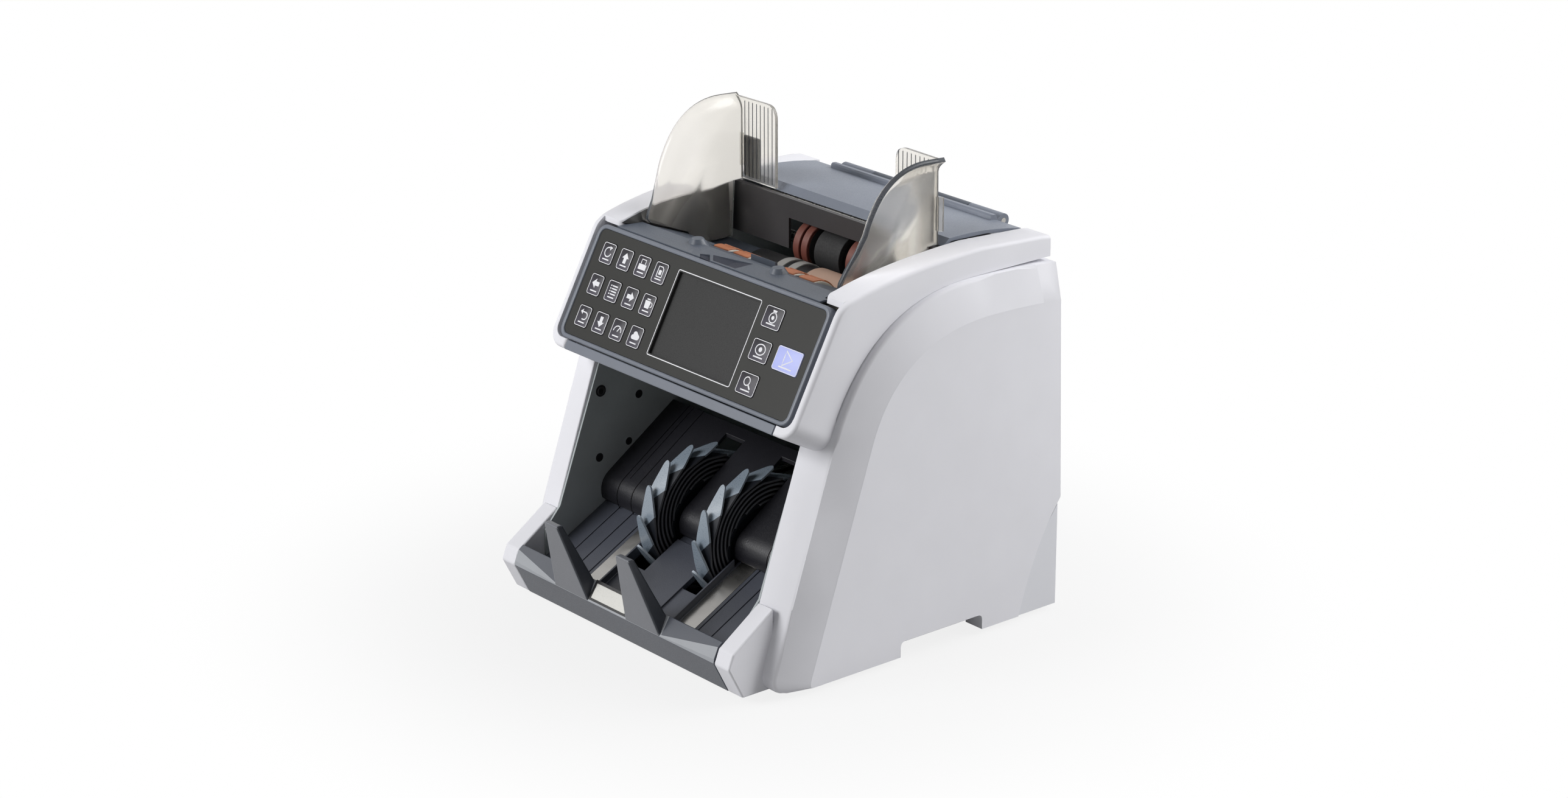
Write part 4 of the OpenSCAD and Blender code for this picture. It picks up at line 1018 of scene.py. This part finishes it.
def stacker_wheel(node, x):
    """Thin blades painted dark as shade, their rims painted light as edge highlights and their leaves
    painted pale as the lamp's reflection, and the drum that they spring from.
    """
    bm = bmesh.new()
    place = Matrix.Translation((x, WHEEL_Y, WHEEL_Z))
    rows = blade_rows()
    for blade in range(BLADES):
        turn = place @ Matrix.Rotation(math.tau * blade / BLADES, 4, "X")
        row = row_of(bm, [turn @ Vector(corner) for corner in rows[0]], False)
        for pair in rows[1:]:
            row = grow(bm, row, [turn @ Vector(corner) for corner in pair], False)
    # Faces past the coil take the pale leaf colour, a painted reflection; the coil takes the dark blade
    # colour, painted shade
    for index, face in enumerate(bm.faces):
        face.material_index = int(index % (len(rows) - 1) >= COIL_STEPS)
    bm.edges.index_update()
    borders = [edge.index for edge in bm.edges if edge.is_boundary]
    # Rims of the blade walls take the lighter edge colours: painted highlights
    finishes = [BLADE_PAINTED_SHADE, LEAF_PAINTED_REFLECTION, BLADE_EDGE_PAINTED_HIGHLIGHT, LEAF_EDGE_PAINTED_HIGHLIGHT]
    wheel = piece(node + "_look", bm, finishes, "stacker", [node], wall=1.5, rim=2)
    for index in borders:
        wheel.data.edges[index].use_edge_sharp = True

    bm = bmesh.new()
    profile = ((4.3, -7.6), (30.4, -7.6), (30.4, 6), (27.5, 6), (27.5, 3), (9, 3), (9, 9.5), (4.3, 9.5),
               (4.3, -7.6))
    turned(bm, profile, (x, WHEEL_Y, WHEEL_Z))
    # The hub takes the blades' darkened colour: painted shade
    piece(node + "_hub", bm, [BLADE_PAINTED_SHADE], "stacker", rounding=0.4)


stacker_wheel("left_stacker_wheel", -30)
stacker_wheel("right_stacker_wheel", 30)


# Front lip and note-stop fins

def front_lip():
    """Faceted lip whose outer ends stand fuller than its middle, with the two fins."""
    bm = bmesh.new()
    full = ((-10, 1), (-22, 24), (-21.6, 27), (-18.2, 34.7), (-14.5, 37.4), (-8.2, 33), (-8.2, 1))
    slim = ((-10, 1), (-22, 24), (-21.7, 24.6), (-21.2, 25.3), (-13.8, 36.8), (-8.2, 33), (-8.2, 1))
    loft(bm, [[(x, y, z) for y, z in section]
              for x, section in ((-109.6, full), (-63, slim), (53.5, slim), (109.6, full))])
    bm.normal_update()
    # Front-up facets take a lighter copy of the lip's slate: a painted highlight
    for face in bm.faces:
        face.material_index = int(face.normal.y < -0.7 and 0.1 < face.normal.z < 0.6)
    piece("front_lip_look", bm, [LIP, LIP_FACET_PAINTED_HIGHLIGHT], replaced=["front_lip"], rounding=0.5,
          sharp=12)

    bm = bmesh.new()
    for x in (-44.4, 34):
        rows = []
        for half, front, rear, z in ((19, -22, -9, 23.6), (18.4, -22.6, -9, 26), (7.2, -38.5, -33, 78.5)):
            rows.append([(u, y, z) for u, y in box_outline(x - half, front, x + half, rear)])
        loft(bm, rows)
    bmesh.ops.recalc_face_normals(bm, faces=bm.faces)
    # Faces turned to the right take a darker copy: painted shade on the fins' right sides
    for face in bm.faces:
        face.material_index = int(face.normal.x > 0.5)
    piece("note_stop_fins", bm, [FIN, FIN_SIDE_PAINTED_SHADE], rounding=1.5, segments=3)

    for name, low, high, inset, rise, material in (("insert_frame", 25.4, 37.4, -0.6, 0.3, BLACK),
                                                   ("lip_insert", 26.8, 35.6, 2, 0.6, INSERT)):
        bm = bmesh.new()
        left = -25.5 + inset
        right = 15.2 - inset
        front, rear = [-21.2 + (z - 25.6) * 0.661 for z in (low, high)]
        corners = ((left, front, low), (right, front, low), (right, rear, high), (left, rear, high))
        solid(bm, corners, (0, -rise * 0.83, rise * 0.55))
        piece(name, bm, [material], rounding=0.2)


front_lip()


# Rollers in the hopper

SHAFT_R = 4
BORE_R = 4.1
PULLEY_R = 14
DRUM_STEPS = 64
LEFT_PULLEY = sleeve(BORE_R, PULLEY_R, -119.1, -112.1)
RIGHT_PULLEY = sleeve(BORE_R, PULLEY_R, 119.9, 126.9)
PICKUP_AXIS = (0, 113.5, 223.4)
FEED_AXIS = (0, 153, 211)
RETARD_OFFSET = 38.47
RETARD_ANGLE = math.radians(37.7)
RETARD_AXIS = (0, FEED_AXIS[1] + RETARD_OFFSET * math.cos(RETARD_ANGLE),
               FEED_AXIS[2] + RETARD_OFFSET * math.sin(RETARD_ANGLE))


def roller_shaft(body, start, end, axis):
    """Steel shaft of a roller, which stands for the whole CAD roller."""
    bm = bmesh.new()
    turned(bm, rod(SHAFT_R, start, end), axis, 32)
    piece(body + "_shaft", bm, [STEEL], body, [body + "_roller"])


def pickup_roller():
    """Cream hubs with copper-coloured rubber pads, the slots between them painted dark as shade, on one
    shaft with its pulley.
    """
    roller_shaft("pickup", -119, 112.6, PICKUP_AXIS)
    bm = bmesh.new()
    turned(bm, LEFT_PULLEY, PICKUP_AXIS)
    piece("pickup_pulley", bm, [BLACK], "pickup", rounding=0.4)
    hub = ((BORE_R, 0), (15.4, 0), (15.4, 16), (18.8, 16), (18.8, 17.4), (BORE_R, 17.4), (BORE_R, 0))
    centre = PICKUP_AXIS[1:]
    bm = bmesh.new()
    pads = bmesh.new()
    slots = bmesh.new()
    for x in (-54, -33, 15, 36):
        turned(bm, [(radius, x + along) for radius, along in hub], PICKUP_AXIS)
        for half_turn in (0, 180):
            for start, end, radius in ((20, 67, 20), (73, 96, 19.6)):
                start += half_turn
                end += half_turn
                outline = arc(centre, radius, start, end, 6) + arc(centre, 16.6, end, start, 5)
                slab(pads, outline, x + 0.8, x + 16)
            # Slot floors between the pads take a darkened copper: painted shade in the slots
            start = 20 + half_turn
            end = 97 + half_turn
            outline = arc(centre, 17.2, start, end, 10) + arc(centre, 15, end, start, 10)
            slab(slots, outline, x + 0.9, x + 15.9)
    piece("pickup_hubs", bm, [CREAM], "pickup", rounding=0.4)
    piece("pickup_pads", pads, [COPPER], "pickup", rounding=0.5)
    piece("pickup_slots", slots, [SLOT_PAINTED_SHADE], "pickup")


def feed_roller():
    """Black drum with two pale rings and one wide beige tyre to their right; to the left of the rings the
    drum is left bare and black as painted shade.
    """
    roller_shaft("feed", -119, 126.9, FEED_AXIS)
    bm = bmesh.new()
    turned(bm, LEFT_PULLEY, FEED_AXIS)
    turned(bm, RIGHT_PULLEY, FEED_AXIS)
    # The drum's bare black stretch left of the rings is painted shade
    turned(bm, sleeve(BORE_R, 20, -55, 55), FEED_AXIS, DRUM_STEPS)
    piece("feed_drum", bm, [BLACK], "feed", rounding=0.4)
    # The pale rings take a darkened cream: painted shade
    for name, material, starts, width in (
            ("feed_rings", RING_PAINTED_SHADE, (-25, -13), 7),
            ("feed_tyres", BEIGE, (6,), 48)):
        bm = bmesh.new()
        for x in starts:
            turned(bm, sleeve(19.5, 21, x, x + width), FEED_AXIS, DRUM_STEPS)
        piece(name, bm, [material], "feed", rounding=0.4)


def retard_roller():
    """Black rubber roller between two pairs of brown-red tyres."""
    roller_shaft("retard", -112.5, 112.5, RETARD_AXIS)
    bm = bmesh.new()
    drum = ((BORE_R, -13), (16.5, -13), (16.5, 13), (12.5, 13), (12.5, 11.6), (BORE_R, 11.6), (BORE_R, -13))
    turned(bm, drum, RETARD_AXIS, DRUM_STEPS)
    for x in (-35, 20):
        turned(bm, sleeve(BORE_R, 14.5, x, x + 15), RETARD_AXIS, DRUM_STEPS)
    piece("retard_drum", bm, [RUBBER], "retard", rounding=0.6)
    bm = bmesh.new()
    for x in (-35, -26.5, 20, 28.5):
        turned(bm, sleeve(14, 17, x, x + 6.5), RETARD_AXIS, DRUM_STEPS)
    piece("retard_tyres", bm, [TYRE], "retard", rounding=0.9, segments=3)


pickup_roller()
feed_roller()
retard_roller()


# Note guides

GUIDE_X = 101
FLANGE_Y = 174


def guide_flare(edge):
    """How far the guide's edge turns outwards at each of its points."""
    return [7 * min(1, max(0, (z - 262) / 22)) for y, z in edge]


def note_guide(node, side, body):
    """Flared smoke-grey guide with its rear flange, the flange's ribs and its post."""
    bm = bmesh.new()
    edge = [(91.2, 254.2), (92, 257.5), (97, 266.5), (102.3, 277)]
    edge += curve((107.5, 288), (122, 328), (158, 328), 14)
    edge += [(167, 327.6), (176.5, 327)]
    flare = guide_flare(edge)
    inward = []
    for index in range(len(edge)):
        after = Vector(edge[min(index + 1, len(edge) - 1)])
        along = (after - Vector(edge[max(index - 1, 0)])).normalized()
        inward.append(Vector((along.y, -along.x)))
    rows = []
    for share in (0, 0.25, 0.5, 0.75, 1):
        places = []
        for (y, z), turn, out in zip(edge, inward, flare):
            at = Vector((y, z)) + turn * 9 * (1 - share)
            places.append((GUIDE_X + out * share ** 2, at.x, at.y))
        rows.append(grow(bm, rows[-1], places, False) if rows else row_of(bm, places, False))
    rest = ((176.5, 267.4), (168, 267.4), (166, 227.4), (131.4, 227.4), (126, 238.2), (93.6, 251.4))
    foot = [bm.verts.new((GUIDE_X, y, z)) for y, z in rest]
    bm.faces.new(rows[0] + foot + [row[0] for row in rows[:0:-1]])
    piece(node + "_look", mirrored(bm, side), [SMOKE, SMOKE_EDGE], body, [node],
          wall=3.2, rim=1)

    bm = bmesh.new()
    outline = [(99.6, 268.6), (62.4, 268.6)] + curve((62.4, 317), (62.4, 327), (72, 327), 7)
    outline += [(106.4, 326.6), (102, 322.5), (99.6, 318)]
    solid(bm, [(x, FLANGE_Y, z) for x, z in outline], (0, 2.5, 0))
    slab(bm, ((FLANGE_Y, 277.5), (FLANGE_Y, 301), (180, 299.4), (180, 276)), 102.2, 104)
    piece(node + "_flange", mirrored(bm, side), [SMOKE], body)

    bm = bmesh.new()
    ahead = FLANGE_Y - 0.4
    for rib in range(8):
        x = 65.4 + 4.2 * rib
        slab(bm, ((ahead, 270.6), (ahead, 325), (FLANGE_Y, 325), (FLANGE_Y, 270.6)), x, x + 0.35)
    piece(node + "_ribs", mirrored(bm, side), [SMOKE_EDGE], body)

    bm = bmesh.new()
    slab(bm, ((177, 270), (177, 299), (179.5, 299), (179.5, 270)), 83, 99.6)
    piece(node + "_post", mirrored(bm, side), [CHARCOAL], body, rounding=0.8)


note_guide("left_note_guide", -1, "left_guide")
note_guide("right_note_guide", 1, "right_guide")


# Stage

def joined(tree, operation, first, second):
    """Two values joined by a math node."""
    node = tree.nodes.new("ShaderNodeMath")
    node.operation = operation
    tree.links.new(first, node.inputs[0])
    tree.links.new(second, node.inputs[1])
    return node.outputs["Value"]


def seen_share(tree):
    """1 for rays that show a surface straight, mirrored or through clear plastic, and 0 for its light."""
    path = tree.nodes.new("ShaderNodeLightPath")
    mirrored_too = joined(tree, "MAXIMUM", path.outputs["Is Camera Ray"], path.outputs["Is Glossy Ray"])
    return joined(tree, "MAXIMUM", mirrored_too, path.outputs["Is Transmission Ray"])


def mixed(tree, share, first, second, output):
    """Sends a mix of two shaders to the tree's output."""
    mix = tree.nodes.new("ShaderNodeMixShader")
    tree.links.new(share, mix.inputs["Fac"])
    tree.links.new(first, mix.inputs[1])
    tree.links.new(second, mix.inputs[2])
    tree.links.new(mix.outputs["Shader"], tree.nodes[output].inputs["Surface"])


def floor_material():
    """Pale floor that keeps the object's shadow and turns to white away from it."""
    material, tree, shader, place = new_material("pale_floor")
    shader.inputs["Base Color"].default_value = grey(0.4)
    shader.inputs["Roughness"].default_value = 0.9

    glow = tree.nodes.new("ShaderNodeEmission")
    glow.inputs["Strength"].default_value = 1.0
    distance = tree.nodes.new("ShaderNodeVectorMath")
    distance.operation = "LENGTH"
    tree.links.new(place, distance.inputs[0])
    share = tree.nodes.new("ShaderNodeMapRange")
    share.interpolation_type = "SMOOTHSTEP"
    for end, value in (("From Min", 0.14), ("From Max", 0.42), ("To Min", 0.84), ("To Max", 1.0)):
        share.inputs[end].default_value = value
    tree.links.new(distance.outputs["Value"], share.inputs["Value"])
    amount = joined(tree, "MULTIPLY", share.outputs["Result"], seen_share(tree))
    mixed(tree, amount, shader.outputs["BSDF"], glow.outputs["Emission"], "Material Output")
    return material


def studio_floor():
    """The floor as part of the stage."""
    bm = bmesh.new()
    bmesh.ops.create_grid(bm, x_segments=1, y_segments=1, size=6)
    floor = put("floor", mesh_of("floor", bm))
    floor.data.materials.append(floor_material())


def studio_world():
    """World that is white where it is seen and gives the object little light."""
    world = bpy.data.worlds.new("studio")
    bpy.context.scene.world = world
    world.use_nodes = True
    tree = world.node_tree
    back = tree.nodes["Background"]
    back.inputs["Color"].default_value = grey(1.0)
    back.inputs["Strength"].default_value = 0.13
    white = tree.nodes.new("ShaderNodeBackground")
    white.inputs["Color"].default_value = grey(1.0)
    white.inputs["Strength"].default_value = 1.0
    mixed(tree, seen_share(tree), back.outputs["Background"], white.outputs["Background"], "World Output")


def studio_lamps():
    """Soft lamps that all face the middle of the case: place and size in metres, power in watts."""
    target = Vector((0, 0, 0.15))
    for name, place, size, power in (
            ("key_light", (-0.9, -2.0, 1.3), 1.2, 52),
            ("side_light", (1.1, 1.98, 1.5), 2.0, 89),
            ("top_light", (0.2, 0.1, 2.4), 1.4, 3)):
        lamp = bpy.data.lights.new(name, "AREA")
        lamp.energy = power
        lamp.size = size
        light = put(name, lamp)
        light.location = place
        light.rotation_euler = (target - Vector(place)).to_track_quat("-Z", "Y").to_euler()


def photo_camera():
    """Camera at the photograph's place, fitted to the case's edges."""
    azimuth = 50.02
    elevation = 19.89
    camera = bpy.data.cameras.new("camera")
    camera.sensor_width = 36.0
    camera.lens = 84.04
    camera.clip_end = 50
    obj = put("camera", camera)
    obj.location = TO_MODEL @ Vector((1807.3, -1385.8, 994.6))
    obj.rotation_euler = (math.radians(90 - elevation), 0, math.radians(azimuth))
    bpy.context.scene.camera = obj


bpy.context.scene.view_settings.view_transform = "Standard"
studio_floor()
studio_world()
studio_lamps()
photo_camera()
